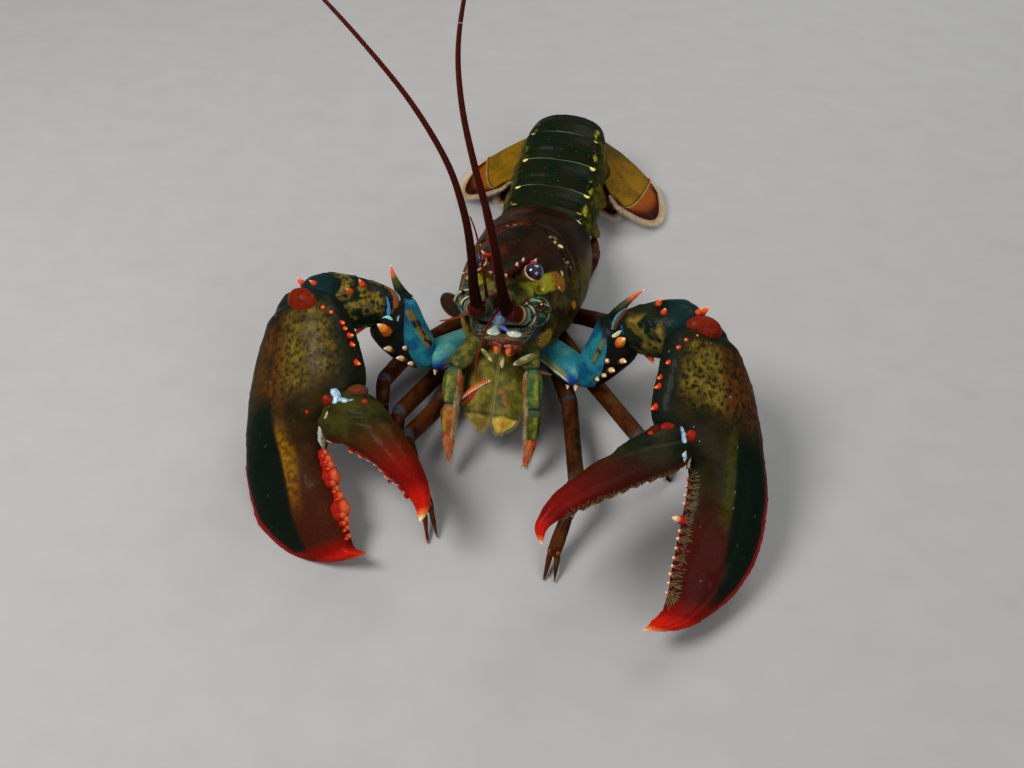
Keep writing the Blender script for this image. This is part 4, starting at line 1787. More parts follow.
def leg(name, joints):
    """walking leg in an upper and a lower length, the first two pairs with small pincers"""
    hip, first, knee, ankle, toe = (Vector(p) for p in joints)
    r0, r1, r2, r3, r4, r5 = LEG_RADIUS
    root = hip - (first - hip) * 0.12
    upper = Skin()
    thigh = [(0.0, r0, r0), (0.3, r0 * 0.92, r0), (0.75, r1, r1 * 1.1), (1.0, r1, r1 * 1.15),
             (1.06, r1 * 0.6, r1 * 0.7)]
    shank = [(-0.06, r1 * 0.6, r1 * 0.7), (0.02, r1 * 0.95, r1 * 1.15), (0.5, r1 * 0.9, r1 * 1.15),
             (0.93, r2 * 0.95, r2 * 1.15), (1.02, r2 * 0.7, r2 * 0.8)]
    leg_piece(upper, root, first, thigh, RUST, TURQUOISE)
    leg_piece(upper, first, knee, shank, RUST, TURQUOISE)
    upper.object(name + "_upper_shell", SHELL, [name + "_upper"], "leg_shell")
    lower = Skin()
    start = knee - (ankle - knee) * 0.15
    shin = [(0.0, r2 * 0.7, r2 * 0.8), (0.3, r2 * 0.9, r2), (0.85, r3 * 0.95, r3 * 1.1),
            (1.06, r3 * 0.7, r3 * 0.8)]
    leg_piece(lower, start, ankle, shin, RUST, TURQUOISE)
    if name[4] in "12":
        palm = [(-0.08, r3 * 0.6, r3 * 0.7), (0.06, r3 * 0.9, r3 * 1.05), (0.4, r4 * 1.05, r4 * 1.05),
                (0.56, r4 * 1.0, r4 * 0.85), (0.62, r4 * 0.7, r4 * 0.6)]
        leg_piece(lower, ankle, toe, palm, RUST, RED)
        _, across, _ = frame_between(ankle, toe, Vector((0.0, 0.0, 1.0)))
        side = 1.0 if "left" in name else -1.0
        for sign, reach in ((1.0, 1.0), (-1.0, 0.97)):
            base = blend(ankle, toe, 0.52) + across * (sign * r4 * 0.48)
            tip = ankle + (toe - ankle) * reach + across * (sign * (0.2 if sign * side > 0.0 else 5.0))
            tip.z = max(tip.z, toe.z)
            finger = [(0.0, r4 * 0.5, r4 * 0.8), (0.3, r4 * 0.42, r4 * 0.7), (0.75, r5 * 0.85, r5 * 1.1),
                      (1.0, r5 * 0.4, r5 * 0.5)]
            leg_piece(lower, base, tip, finger, RUST, ORANGE)
    else:
        foot = [(-0.08, r3 * 0.6, r3 * 0.7), (0.06, r3 * 0.85, r3 * 1.05), (0.45, r4 * 0.8, r4 * 1.05),
                (0.6, r4 * 0.72, r4 * 0.9), (0.85, r5 * 1.5, r5 * 1.8), (1.0, r5 * 0.9, r5)]
        leg_piece(lower, ankle, toe, foot, RUST, OCHRE)
    lower.object(name + "_lower_shell", SHELL, [name + "_lower"], "leg_shell")


# Feelers

def whip(skin, points, start, end, root, tip, spacing, sides, tint_root, tint_tip, ring_length, swell=0.0):
    """round tapering feeler made of many short rings"""
    length = sum((Vector(b) - Vector(a)).length for a, b in zip(points, points[1:])) * (end - start)
    count = max(int(length / spacing), 8)
    places = np.linspace(start, end, count + 1)
    radii = []
    for k, t in enumerate(places.tolist()):
        radius = tip + (root - tip) * (1.0 - t) ** WHIP_TAPER
        radius += swell * math.exp(-t / 0.06)
        radii.append(radius * (1.0 + 0.07 * math.sin(2.0 * math.pi * k * spacing / ring_length)))
    grid = swept(points, places.tolist(), radii, Vector((0.3, -1.0, 0.1)), 1.0, sides, 0.01)
    run = places[:, None] * np.ones((1, sides))
    tint = mix(tint_root, tint_tip, smooth(0.0, 0.7, run))
    wave = np.sin(2.0 * np.pi * np.arange(count + 1) * spacing / ring_length)
    beat = 0.5 + 0.5 * wave[:, None] * np.ones((1, sides))
    tint = mix(tint * 0.6, tint, beat)
    skin.tube(grid, end_middles(grid), tint, 0.3, 0.0)


def antennae():
    """the two long feelers in three lengths each"""
    for word, points in (("left", ANTENNA_LEFT), ("right", ANTENNA_RIGHT)):
        for k in range(3):
            start = k / 3.0 + (0.0008 if k else 0.0)
            end = (k + 1) / 3.0 - (0.0008 if k < 2 else 0.0)
            skin = Skin()
            whip(skin, points, start, end, WHIP_ROOT * 1.18, WHIP_TIP, 0.3, 12, colour(28, 10, 6),
                 colour(70, 20, 11),
                 1.2, 0.75)
            name = "antenna_%s_%d" % (word, k + 1)
            skin.object(name + "_whip", SHELL, [name], "feeler_shell")


# How far the middle of the mouth sits to the animal's left
MOUTH_SIDE = 4.2

# Head details: places are in the stance frame unless they go through body()
ANTENNULES = {
    "left": [[(0.5, -21.5, 90.0), (-4.0, -15.5, 107.0), (-7.6, -11.2, 124.0)],
             [(-2.5, -29.0, 67.0), (-6.5, -32.6, 54.0), (-8.6, -36.5, 44.0), (-8.1, -40.8, 34.0)]],
    "right": [[(-7.0, -19.5, 94.0), (-10.3, -15.0, 111.0), (-12.6, -15.2, 122.0)],
              [(-11.0, -27.5, 72.0), (-19.0, -30.3, 68.0), (-27.0, -32.1, 66.0)]],
}
ELBOW_BANDS = [
    ([(57.4, -18.8, 62.6), (58.6, -15.8, 66.0), (60.2, -12.8, 68.0), (62.7, -9.4, 69.2),
      (66.4, -7.0, 70.4)],
     [0.5, 1.2, 1.5, 1.2, 0.4], (84, 44, 20)),
    ([(56.4, -19.4, 62.4), (56.8, -15.8, 66.4), (58.4, -12.4, 68.8), (61.4, -8.8, 70.0)],
     [0.4, 0.8, 0.8, 0.4], (64, 110, 130)),
    ([(61.8, -16.2, 67.8), (61.6, -18.2, 66.8), (63.0, -20.8, 65.0)], [0.4, 1.1, 1.0], (20, 62, 112)),
    ([(56.2, -22.4, 60.6), (58.0, -21.1, 62.2), (59.9, -20.1, 64.0), (61.6, -19.5, 65.8)],
     [0.6, 1.2, 1.0, 0.4], (176, 190, 150)),
    ([(-61.4, -14.8, 65.6), (-56.6, -16.6, 63.2), (-53.4, -21.6, 61.6), (-52.9, -27.9, 57.7)],
     [0.5, 1.5, 1.7, 0.6], (104, 52, 20)),
    ([(-58.6, -13.8, 64.0), (-53.9, -16.8, 61.4), (-51.4, -22.6, 60.6), (-51.0, -28.8, 56.6)],
     [0.4, 0.9, 0.9, 0.4], (110, 156, 166)),
    ([(-58.4, -20.8, 64.6), (-57.0, -23.9, 61.8), (-55.4, -28.2, 57.9)], [0.4, 1.1, 1.0], (44, 112, 160)),
    ([(-60.2, -28.9, 55.4), (-55.4, -28.5, 57.7), (-50.6, -29.6, 54.0)], [0.6, 1.3, 0.6], (120, 184, 184)),
]
PALPS = [
    ([(-7.4, -30.0, 47.0), (-4.0, -32.5, 46.2), (-0.8, -34.8, 44.0)], [0.5, 1.2, 1.0, 0.2], 0.4),
    ([(19.1, -24.2, 42.0), (14.0, -29.5, 42.5), (9.6, -33.0, 42.0)], [0.8, 2.2, 1.8, 0.3], 0.35),
    ([(3.4, -30.5, 46.0), (4.0, -33.0, 43.5), (4.4, -35.0, 40.5)], [0.4, 1.2, 1.1, 0.2], 0.5),
]
MOUTH_LEGS = {
    "left": [(9.0, -8.0, 40.0), (19.0, -30.0, 36.0), (23.3, -48.7, 28.0), (24.9, -61.1, 19.0),
             (23.9, -70.6, 10.0)],
    "right": [(-9.0, -8.0, 40.0), (-20.6, -36.0, 35.5), (-18.8, -53.5, 28.0), (-17.2, -65.8, 19.0),
              (-14.6, -75.7, 10.0)],
}
MOUTH_LINE = [(0.0, -12.0, 36.5), (0.5, -26.0, 33.0), (1.5, -40.0, 28.5), (2.5, -52.0, 23.0),
              (3.0, -60.0, 19.5)]
MOUTH_APRON = ([0.22, 0.22, 0.22, 0.22, 0.22, 0.25, 0.4, 0.9, 3.4],
               [15.0, 16.6, 17.5, 17.6, 17.0, 15.6, 13.8, 11.6, 6.0])
CREST = [(-1.7, -35.0, 30.6), (-6.0, -39.0, 30.2), (-10.5, -43.0, 28.6), (-14.3, -47.0, 27.0)]
SIDE_BRANCHES = [
    ([(14.6, -29.9, 38.6), (21.0, -29.0, 35.0), (28.3, -25.8, 30.0)], [0.9, 1.1, 0.9, 0.3]),
    ([(-14.6, -29.9, 38.6), (-21.0, -29.0, 35.0), (-27.0, -25.8, 30.0)], [0.9, 1.1, 0.9, 0.3]),
]


def strip(skin, a, b, up, sections, tint, sides, steps, rough, pit, lumpy):
    """tapering limb from a to b with a little unevenness"""
    grid, ends = rings(limb_stations(Vector(a), Vector(b), up, sections), sides, steps)
    grid = grid + normals(grid) * (lumpy * clouds(grid, 3.5, 3, 81))[..., None]
    skin.tube(grid, ends, tint(grid), rough, pit)


def bent(skin, points, radii, flat, tint, sides=24, count=40, rough=0.3):
    """round or flattened limb along a smooth line of points"""
    places = [k / count for k in range(count + 1)]
    sizes = np.interp(places, np.linspace(0.0, 1.0, len(radii)), radii)
    grid = swept(points, places, sizes, Vector((0.2, -0.8, 0.6)), flat, sides, 0.02)
    skin.tube(grid, end_middles(grid), tint(grid) if callable(tint) else tint, rough)


def face_middle(h):
    """how far the middle of the face and mouth sits to the left at a height"""
    return np.interp(h, [-42.0, -38.0, -29.0, -21.0, -15.0], [MOUTH_SIDE, MOUTH_SIDE, 3.7, 1.2, 0.0])


def face_plate():
    """ridged plate above the mouth, with two white ovals beside a blue middle"""
    stations = []
    for s, half, top, low in FACE:
        middle = 0.5 * (top + low)
        stations.append(station(body(0.0, s, middle), SIDE * half, RISE * (top - middle)))
    grid, ends = rings(stations, 300, 36, 2.6)
    x, s, h = to_body(grid)
    out = normals(grid)
    x = x - face_middle(h)
    side = np.abs(x)
    front = smooth(4.0, -4.0, s)
    slant = h + 0.35 * side
    ridges = np.cos(slant * 2.4) * bell(10.5, 5.0, side) * bell(-33.0, 5.0, h)
    ridges = ridges + 0.6 * np.cos(slant * 5.0) * bell(13.0, 4.0, side) * bell(-31.0, 5.0, h)
    oval = smooth(1.25, 0.75, np.hypot((side - 5.2) / 3.3, (h + 29.4 + 0.10 * side) / 1.6))
    ledge = bell(-26.0, 0.8, h + 0.05 * side) * smooth(15.0, 11.0, side)
    lip = smooth(1.2, 0.7, np.hypot(x / 7.0, (h + 34.4) / 2.2))
    bulb = smooth(1.2, 0.5, np.hypot(x / 3.4, (h + 21.0) / 3.4))
    lumps = clouds(grid, 4.0, 3, 82)
    fine = clouds(grid, 1.6, 3, 92)
    move = front * (0.30 * ridges + 1.0 * oval - 2.2 * ledge + 0.8 * lip + 0.9 * bulb)
    move = move + front * 0.9 * bell(-24.0, 0.9, h) * smooth(13.0, 8.0, side) + 0.3 * lumps + 0.08 * fine
    grid = grid + out * move[..., None]
    stone = mottled(grid, (50, 50, 38), (100, 98, 74), 3.0, 4, 83, -0.3, 0.5)
    stone = mix(stone, colour(124, 128, 108), 0.5 * smooth(0.4, 0.9, ridges) * front)
    top = smooth(-20.0, -15.0, h)
    olive = mottled(grid, (46, 44, 20), (88, 86, 40), 4.0, 3, 84)
    tint = mix(stone, olive, top)
    flecks, value = cells(grid, 1.3, 85)
    tint = mix(tint, PALE_BLUE, 0.55 * smooth(0.35, 0.15, flecks) * smooth(0.72, 0.8, value) * (1.0 - top))
    blue = smooth(0.1, 0.5, clouds(grid, 3.2, 3, 93)) * bell(-23.0, 3.0, h) * bell(8.0, 5.0, side)
    tint = mix(tint, colour(60, 100, 150), 0.6 * blue * front)
    tint = mix(tint, colour(8, 8, 10), 0.97 * smooth(0.1, 0.6, ledge) * front)
    tint = mix(tint, mix(colour(150, 176, 208), colour(96, 120, 160), smooth(-0.3, 0.3, fine)),
               0.9 * bulb * front)
    between = smooth(1.25, 0.85, np.hypot(x / 2.4, (h + 28.8) / 2.8)) * front
    tint = mix(tint, colour(10, 12, 30), between)
    tint = mix(tint, colour(104, 124, 210), between * smooth(-28.2, -27.2, h + 0.5 * side))
    brown = mix(colour(82, 46, 36), colour(118, 78, 60), smooth(-0.3, 0.4, fine))
    tint = mix(tint, brown, 0.95 * lip * front)
    tint = mix(tint, colour(132, 48, 30),
               0.8 * front * smooth(1.3, 0.7, np.hypot(x / 7.0, (h + 38.0) / 2.4)))
    ring = np.hypot((side - 5.0) / 4.3, (h + 29.6) / 2.4)
    tint = mix(tint, colour(140, 96, 40), 0.8 * front * smooth(1.5, 1.1, ring) * smooth(-29.8, -31.0, h))
    tint = mix(tint, colour(214, 226, 210), oval * front)
    glow = smooth(5.0, 2.6, np.hypot(side - 11.6, h + 9.4) + 0.8 * fine) * smooth(-6.0, -2.0, s)
    tint = mix(tint, colour(140, 138, 34), 0.9 * glow)
    skin = Skin()
    skin.tube(grid, ends, tint, 0.26 + 0.1 * smooth(-0.2, 0.4, lumps) - 0.12 * oval * front, 0.2)
    skin.object("face_plate", SHELL, ["head_front"], "face_plates")


def eye(word, side):
    """dark glossy ball with a pale rim on a short stalk"""
    centre = body(side * EYE_SIDE, EYE_BACK, EYE_LEVEL)
    root = body(side * 6.5, 0.0, -5.0)
    axis = (centre - root).normalized()
    across = axis.cross(RISE).normalized()
    above = across.cross(axis)
    stations = [station(root, across * 3.0, above * 3.0)]
    stations.append(station(centre - axis * 5.5, across * 3.4, above * 3.4))
    for k in range(16):
        angle = math.radians(125.0 - 125.0 * k / 15)
        radius = EYE_RADIUS * math.sin(angle)
        stations.append(station(centre + axis * (EYE_RADIUS * math.cos(angle)), across * radius,
                                above * radius))
    grid, ends = rings(stations, 96, 8)
    look = (RISE * 0.80 - BACK * 0.38 + SIDE * (0.46 * side)).normalized()
    q = (grid - vec(centre)) / EYE_RADIUS
    front = q @ vec(look)
    rim = bell(-0.02, 0.13, front)
    grid = grid + normals(grid) * (0.30 * rim - 0.2 * bell(-0.32, 0.08, front))[..., None]
    tint = mottled(grid, (78, 66, 28), (110, 50, 26), 2.0, 3, 73)
    tint = mix(tint, mix(colour(236, 200, 156), colour(206, 104, 50),
                         smooth(-0.2, 0.4, cloud(grid, 1.5, 74))), rim)
    tint = mix(tint, colour(8, 9, 16), smooth(0.08, 0.17, front))
    tint = mix(tint, colour(38, 42, 64), 0.8 * smooth(0.30, 0.90, front))
    skin = Skin()
    skin.tube(grid, ends, tint, 0.06 + 0.3 * smooth(0.15, 0.0, front), 0.0)
    skin.object("eye_ball_" + word, EYE, ["eye_" + word], "eye_gloss")


def antenna_base(word, side):
    """stout stalk of three pieces with pale rings between them, and its pointed side scale"""
    a = body(side * 17.0, 2.0, -20.0)
    b = body(side * 17.0, -7.0, -20.0)
    c = body(side * 13.0, -15.0, -19.0)
    d = body(side * 8.5, -22.0, -16.5)
    skin = Skin()
    parts = (
        (a, b, [(0.0, 6.0, 6.0), (0.35, 7.6, 7.2), (0.75, 7.7, 7.1), (1.0, 6.8, 6.4), (1.1, 5.4, 5.0)], 0),
        (b, c, [(-0.2, 4.6, 4.6), (0.1, 5.8, 5.7), (0.5, 5.8, 5.7), (0.82, 5.2, 5.1), (1.1, 4.0, 4.0)], 1),
        (c, d, [(-0.2, 3.8, 3.8), (0.1, 4.7, 4.7), (0.42, 4.3, 4.3), (0.62, 3.8, 3.8), (0.9, 3.6, 3.6),
                (1.15, 3.2, 3.2)], 2),
    )
    for p, q, sections, kind in parts:
        grid, ends = rings(limb_stations(p, q, RISE, sections), 90, 14)
        grid = even_rows(grid, 0.25)
        out = normals(grid)
        lumps = clouds(grid, 4.0, 3, 71 + kind)
        run = ((grid - vec(p)) @ vec((q - p).normalized())) / (q - p).length
        rings_ = bell(0.88, 0.06, run) if kind < 2 else bell(0.52, 0.09, run)
        grid = grid + out * (0.25 * lumps + 0.35 * rings_)[..., None]
        deep = mottled(grid, (28, 62, 62), (26, 36, 26), 3.4, 3, 75, -0.2, 0.3)
        deep = mix(deep, colour(64, 128, 130), smooth(0.05, 0.5, clouds(grid, 3.0, 3, 76)))
        deep = mix(deep, colour(150, 160, 84), 0.6 * smooth(0.25, 0.6, clouds(grid, 2.6, 3, 77)))
        if kind == 0:
            broken = smooth(-0.45, 0.05, cloud(grid, 2.6, 98))
            tint = mix(deep, colour(170, 180, 110), 0.8 * bell(0.93, 0.05, run) * broken)
            flecks = smooth(0.30, 0.55, clouds(grid, 2.2, 3, 99)) * smooth(0.35, 0.6, run)
            tint = mix(tint, colour(176, 200, 190), 0.8 * flecks)
        elif kind == 1:
            broken = smooth(-0.75, -0.25, cloud(grid, 2.4, 98))
            pale = window(run, 0.66, 0.72, 0.80, 0.86) * broken
            tint = mix(deep, colour(196, 186, 150), pale * smooth(-0.5, 0.3, clouds(grid, 3.0, 2, 100)))
            tint = mix(tint, colour(110, 44, 20), bell(0.60, 0.05, run))
        else:
            tint = mix(colour(44, 76, 66), colour(100, 140, 130), bell(0.1, 0.10, run))
            tint = mix(tint, colour(96, 54, 18), smooth(0.22, 0.32, run))
            tint = mix(tint, colour(176, 168, 130),
                       bell(0.45, 0.05, run) * smooth(-0.6, 0.0, cloud(grid, 2.0, 78)))
            tint = mix(tint, colour(52, 16, 10), smooth(0.52, 0.66, run))
        skin.tube(grid, ends, tint, 0.24 + 0.1 * smooth(-0.2, 0.4, lumps), 0.2)
    t = np.linspace(0.0, 1.0, 60)[:, None]
    u = np.linspace(-1.0, 1.0, 25)[None, :]
    if word == "right":
        root, tip = Vector((-21.0, -17.4, 58.0)), Vector((-31.5, -13.4, 63.4))
        flat, face = Vector((-0.35, -0.62, -0.70)), Vector((0.1, -0.72, 0.68))
    else:
        root, tip = body(18.0, -3.0, -17.0), body(23.0, -16.0, -15.0)
        flat, face = SIDE, RISE
    root, tip, flat, face = vec(root), vec(tip), vec(flat.normalized()), vec(face.normalized())
    half = 4.7 * np.sqrt(np.clip(1.0 - (1.7 * t - 0.7) ** 2, 0.0, 1.0)) + 0.2
    grid = root + (tip - root) * (t + 0.0 * u)[..., None] + (half * u)[..., None] * flat
    grid = grid + (0.9 * (1.0 - u * u) * np.sin(np.pi * t))[..., None] * face
    thick = 1.5 + 0.5 * bell(0.5, 0.25, u) * (1.0 - t) + 0.1 * np.cos(u * 18.0)
    tint = mottled(grid, (38, 32, 18), (50, 20, 12), 4.0, 3, 79, -0.2)
    tint = mix(tint, colour(150, 30, 20), bell(0.45, 0.06, t) * bell(-0.55, 0.16, u) * (word == "right"))
    tint = mix(tint, colour(84, 80, 40), 0.6 * smooth(0.8, 0.97, np.abs(u) + 0.0 * t))
    skin.plate(grid, thick, tint, 0.28, 0.3)
    for at in (body(side * 14.0, -14.0, -12.6), body(side * 20.5, -8.5, -14.0)):
        add_spine(skin, at, at - BACK * 2.6 + RISE * 0.6, 0.9, MAROON, RED_ORANGE, WHITE)
    skin.object("antenna_stalk_" + word, SHELL, ["antenna_base_" + word], "feeler_shell")


def antennule(word, side):
    """short forked feeler on a jointed stalk"""
    root = body(side * 3.5, -10.0, -13.0)
    mid = body(side * 4.2, -22.0, -11.0)
    skin = Skin()
    grid, ends = rings(limb_stations(root, mid, RISE, [(-0.1, 2.3, 2.2), (0.2, 2.5, 2.4), (0.48, 2.2, 2.1),
                                                       (0.52, 1.8, 1.8), (0.56, 2.1, 2.0), (0.95, 1.7, 1.7),
                                                       (1.1, 1.1, 1.1)]), 40, 8)
    lumps = clouds(grid, 2.0, 3, 72)
    tint = mix(colour(70, 90, 84), colour(112, 50, 26), smooth(-0.2, 0.3, lumps))
    skin.tube(grid, ends, tint, 0.25, 0.2)
    for path in ANTENNULES[word]:
        points = [mid] + [Vector(p) for p in path]
        whip(skin, points, 0.0, 1.0, 0.85, 0.35, 0.25, 10, colour(62, 16, 12), colour(140, 44, 28), 0.8)
    skin.object("antennule_" + word + "_feeler", SHELL, ["antennule_" + word], "feeler_shell")


def lip_tint(grid):
    """soft brown of the lips"""
    return mottled(grid, (96, 44, 34), (140, 92, 66), 1.6, 3, 94, -0.2)


def flap_tint(grid):
    """pale olive of the mouth flaps"""
    return mottled(grid, (104, 104, 56), (178, 172, 126), 2.0, 3, 86, -0.2)


def mandibles():
    """orange jaws with red outer sides and yellow biting edges, and soft brown lips round them"""
    skin = Skin()
    for side in (1.0, -1.0):
        root = body(MOUTH_SIDE + side * 5.6, -3.0, -37.5)
        tip = body(MOUTH_SIDE + side * 3.0, -16.4, -39.4)

        def jaw_tint(grid, side=side):
            x, s, h = to_body(grid)
            apart = (x - MOUTH_SIDE) * side
            base = mix(colour(70, 52, 32), colour(112, 54, 34), smooth(-8.0, -12.0, s))
            base = mix(base, colour(178, 88, 42), smooth(-12.5, -14.0, s))
            base = mix(base, colour(112, 34, 18), smooth(3.9, 4.8, apart) * smooth(-9.0, -12.0, s))
            return mix(base, colour(226, 176, 76), smooth(-40.0, -41.2, h) * smooth(-12.5, -14.0, s))

        strip(skin, root, tip, RISE, [(0.0, 3.6, 3.8), (0.4, 3.5, 3.6), (0.75, 2.6, 2.8), (0.95, 1.9, 2.3),
                                      (1.06, 0.8, 1.1)], jaw_tint, 60, 10, 0.3, 0.0, 0.25)
        start = body(MOUTH_SIDE + side * 8.5, -10.5, -39.0)
        bend = body(MOUTH_SIDE + side * 5.0, -14.6, -36.4)
        end = body(MOUTH_SIDE + side * 0.5, -15.8, -36.6)
        bent(skin, [start, bend, end], [0.7, 1.2, 1.2, 0.7], 0.7, lip_tint, 24, 40, 0.3)
    skin.object("jaws", SHELL, ["mandibles"], "mouth_shell")


def palps():
    """pale leaf-shaped flaps beside and below the jaws, and the brown side branch"""
    skin = Skin()
    for points, radii, flat in PALPS:
        bent(skin, points, radii, flat, flap_tint, 24, 30, 0.2)
    brown = mix(colour(92, 62, 30), colour(150, 110, 60), 0.3)
    for points, radii in SIDE_BRANCHES:
        bent(skin, points, radii, 0.6, brown, 16, 40)
    skin.object("mouth_flaps", SOFT, [], "mouth_shell")


def plate_grid(side):
    """mid surface of the broad mouth-leg plate, its inner edge near the middle line"""
    inner, outer = MOUTH_APRON
    t = np.linspace(-0.02, 1.0, 120)[:, None]
    u = np.linspace(-1.0, 1.0, 80)[None, :]
    middle = np.array(MOUTH_LINE)
    steps = np.linspace(0.0, 1.0, len(middle))
    path = np.stack([np.interp(t[:, 0], steps, middle[:, k]) for k in range(3)], axis=-1)
    shares = np.linspace(0.0, 1.0, len(inner))
    near = np.interp(t[:, 0], shares, inner)[:, None]
    away = np.interp(t[:, 0], shares, outer)[:, None]
    reach = near + (away - near) * (0.5 + 0.5 * u)
    grid = path[:, None, :] + (side * reach)[..., None] * vec(SIDE)
    lift = 1.3 * (1.0 - u * u) * np.sin(np.pi * np.clip(t, 0.0, 1.0)) + 0.3 * np.cos(u * 5.0) * t
    drop = -0.02 * np.clip(reach, 0.0, 30.0) ** 2 * (1.0 - t)
    grid = grid + (lift + drop)[..., None] * vec(Vector((0.0, -0.45, 0.9)))
    return grid, t, u


def crest(skin):
    """toothed orange ridge of the right mouth leg"""
    points = [Vector(p) for p in CREST]
    bent(skin, points, [0.7, 1.1, 1.1, 0.8], 0.8, colour(190, 86, 34), 20, 50, 0.4)
    below = [p + Vector((0.6, -3.0, -2.0)) for p in points]
    bent(skin, below, [0.5, 1.5, 1.8, 0.8], 0.4, colour(140, 44, 18), 20, 50, 0.4)
    for k in range(15):
        t = (k + 0.6) / 15.5
        at = whip_point(points, t)
        go = Vector((0.10, -0.62, 0.10)).normalized()
        add_spine(skin, at, at + go * 2.3, 0.42, colour(206, 120, 60), colour(236, 206, 170), WHITE)


def maxilliped(word, side):
    """mouth leg: broad plate with a toothed inner ridge, and three jointed pieces with a red tip"""
    joints = [Vector(p) for p in MOUTH_LEGS[word]]
    skin = Skin()
    grid, t, u = plate_grid(side)
    lumps = clouds(grid, 6.0, 4, 87)
    fine = clouds(grid, 1.5, 3, 95)
    green = mix(colour(58, 58, 20), colour(98, 92, 34), smooth(-0.3, 0.35, lumps))
    green = mix(green, colour(120, 82, 30), 0.6 * smooth(0.1, 0.5, clouds(grid, 5.0, 3, 88)))
    green = mix(green, green * 1.35, smooth(0.0, 0.6, fine))
    if word == "left":
        yellow = mottled(grid, (150, 132, 40), (176, 150, 60), 3.0, 3, 89, -0.2, 0.5)
        spot = smooth(1.3, 0.5, np.hypot((u - 0.1) / 0.35, (t - 0.88) / 0.05))
        yellow = mix(yellow, colour(168, 74, 26), 0.9 * spot * smooth(-0.4, 0.1, fine))
    else:
        yellow = mottled(grid, (96, 84, 34), (128, 112, 46), 3.0, 3, 89, -0.2, 0.5)
    tint = mix(green, yellow, smooth(0.74, 0.82, t + 0.05 * lumps))
    tint = mix(tint, colour(160, 146, 96), 0.5 * smooth(0.9, 0.99, np.abs(u) + 0.0 * t))
    tint = mix(tint, colour(40, 38, 18), 0.7 * bell(0.76, 0.018, t + 0.03 * lumps))
    thick = 1.8 - 0.5 * t + 0.25 * lumps + 0.1 * fine - 0.6 * np.abs(u) ** 3
    skin.plate(grid, thick, tint, 0.62, 0.3)
    if word == "right":
        crest(skin)
    sizes = [(4.6, 6.0), (3.9, 5.2), (3.4, 4.4), (2.6, 3.4), (0.7, 0.8)]
    shades = (
        (colour(52, 62, 28), colour(98, 92, 38)),
        (colour(38, 72, 44), colour(84, 92, 34)),
        (colour(50, 64, 28), colour(98, 92, 30)),
        (colour(150, 44, 18), colour(176, 84, 34)),
    )
    if word == "right":
        shades = (shades[0], (colour(50, 70, 36), colour(96, 92, 44)),
                  (colour(120, 66, 26), colour(160, 96, 44)),
                  shades[3])
    for k, (a, b) in enumerate(zip(joints, joints[1:])):
        w0, h0 = sizes[k]
        w1, h1 = sizes[k + 1]
        if k < 3:
            steps = [(-0.06, w0 * 0.46, h0 * 0.46), (0.03, w0 * 0.66, h0 * 0.7), (0.26, w0 * 0.96, h0),
                     (0.6, blend(w0, w1, 0.35), blend(h0, h1, 0.35)), (0.9, w1 * 0.82, h1 * 0.86),
                     (1.03, w1 * 0.5, h1 * 0.5)]
        else:
            steps = [(-0.06, w0 * 0.6, h0 * 0.6), (0.08, w0 * 0.9, h0 * 0.9), (0.45, w0 * 0.85, h0 * 0.75),
                     (0.85, 1.4, 1.5), (1.02, 0.5, 0.5)]
        way = (b - a).normalized()

        def leg_tint(grid, k=k, a=a, way=way, length=(b - a).length):
            run = ((grid - vec(a)) @ vec(way)) / length
            off = (grid - vec(a)) - run[..., None] * length * vec(way)
            x = off[..., 0] * side
            deep, light = shades[k]
            base = mix(deep, light, smooth(-0.3, 0.4, clouds(grid, 3.0, 3, 90 + k)))
            if k in (1, 2):
                stripe = bell(2.0, 1.1, x) * window(run, 0.15, 0.35, 0.9, 1.0)
                base = mix(base, colour(128, 132, 36),
                           0.8 * stripe * smooth(-0.5, 0.1, clouds(grid, 2.4, 3, 97)))
                ragged = x + 0.9 * clouds(grid, 2.6, 3, 96)
                base = mix(base, colour(142, 58, 20), 0.85 * smooth(-2.4, -3.6, ragged))
                freckles, value = cells(grid, 1.1, 101)
                base = mix(base, colour(30, 40, 16),
                           0.6 * smooth(0.4, 0.2, freckles) * smooth(0.6, 0.8, value))
                base = mix(base, colour(20, 26, 14), 0.75 * bell(3.4, 0.35, x))
                ring = smooth(0.16, 0.06, run) * smooth(-0.3, 0.2, clouds(grid, 2.4, 2, 102))
                base = mix(base, colour(34, 84, 88), 0.5 * ring)
            if k == 3:
                base = mix(base, colour(170, 30, 16), smooth(0.35, 0.9, run))
            dark = np.maximum(smooth(0.03, -0.02, run), smooth(0.95, 1.0, run))
            return mix(base, colour(22, 22, 14), 0.8 * dark) if k < 3 else base

        strip(skin, a, b, (side, 0.0, 0.0), steps, leg_tint, 60, 12, 0.42, 0.3, 0.45)
    skin.object("mouth_leg_" + word, SHELL, ["maxilliped_" + word], "mouth_shell")


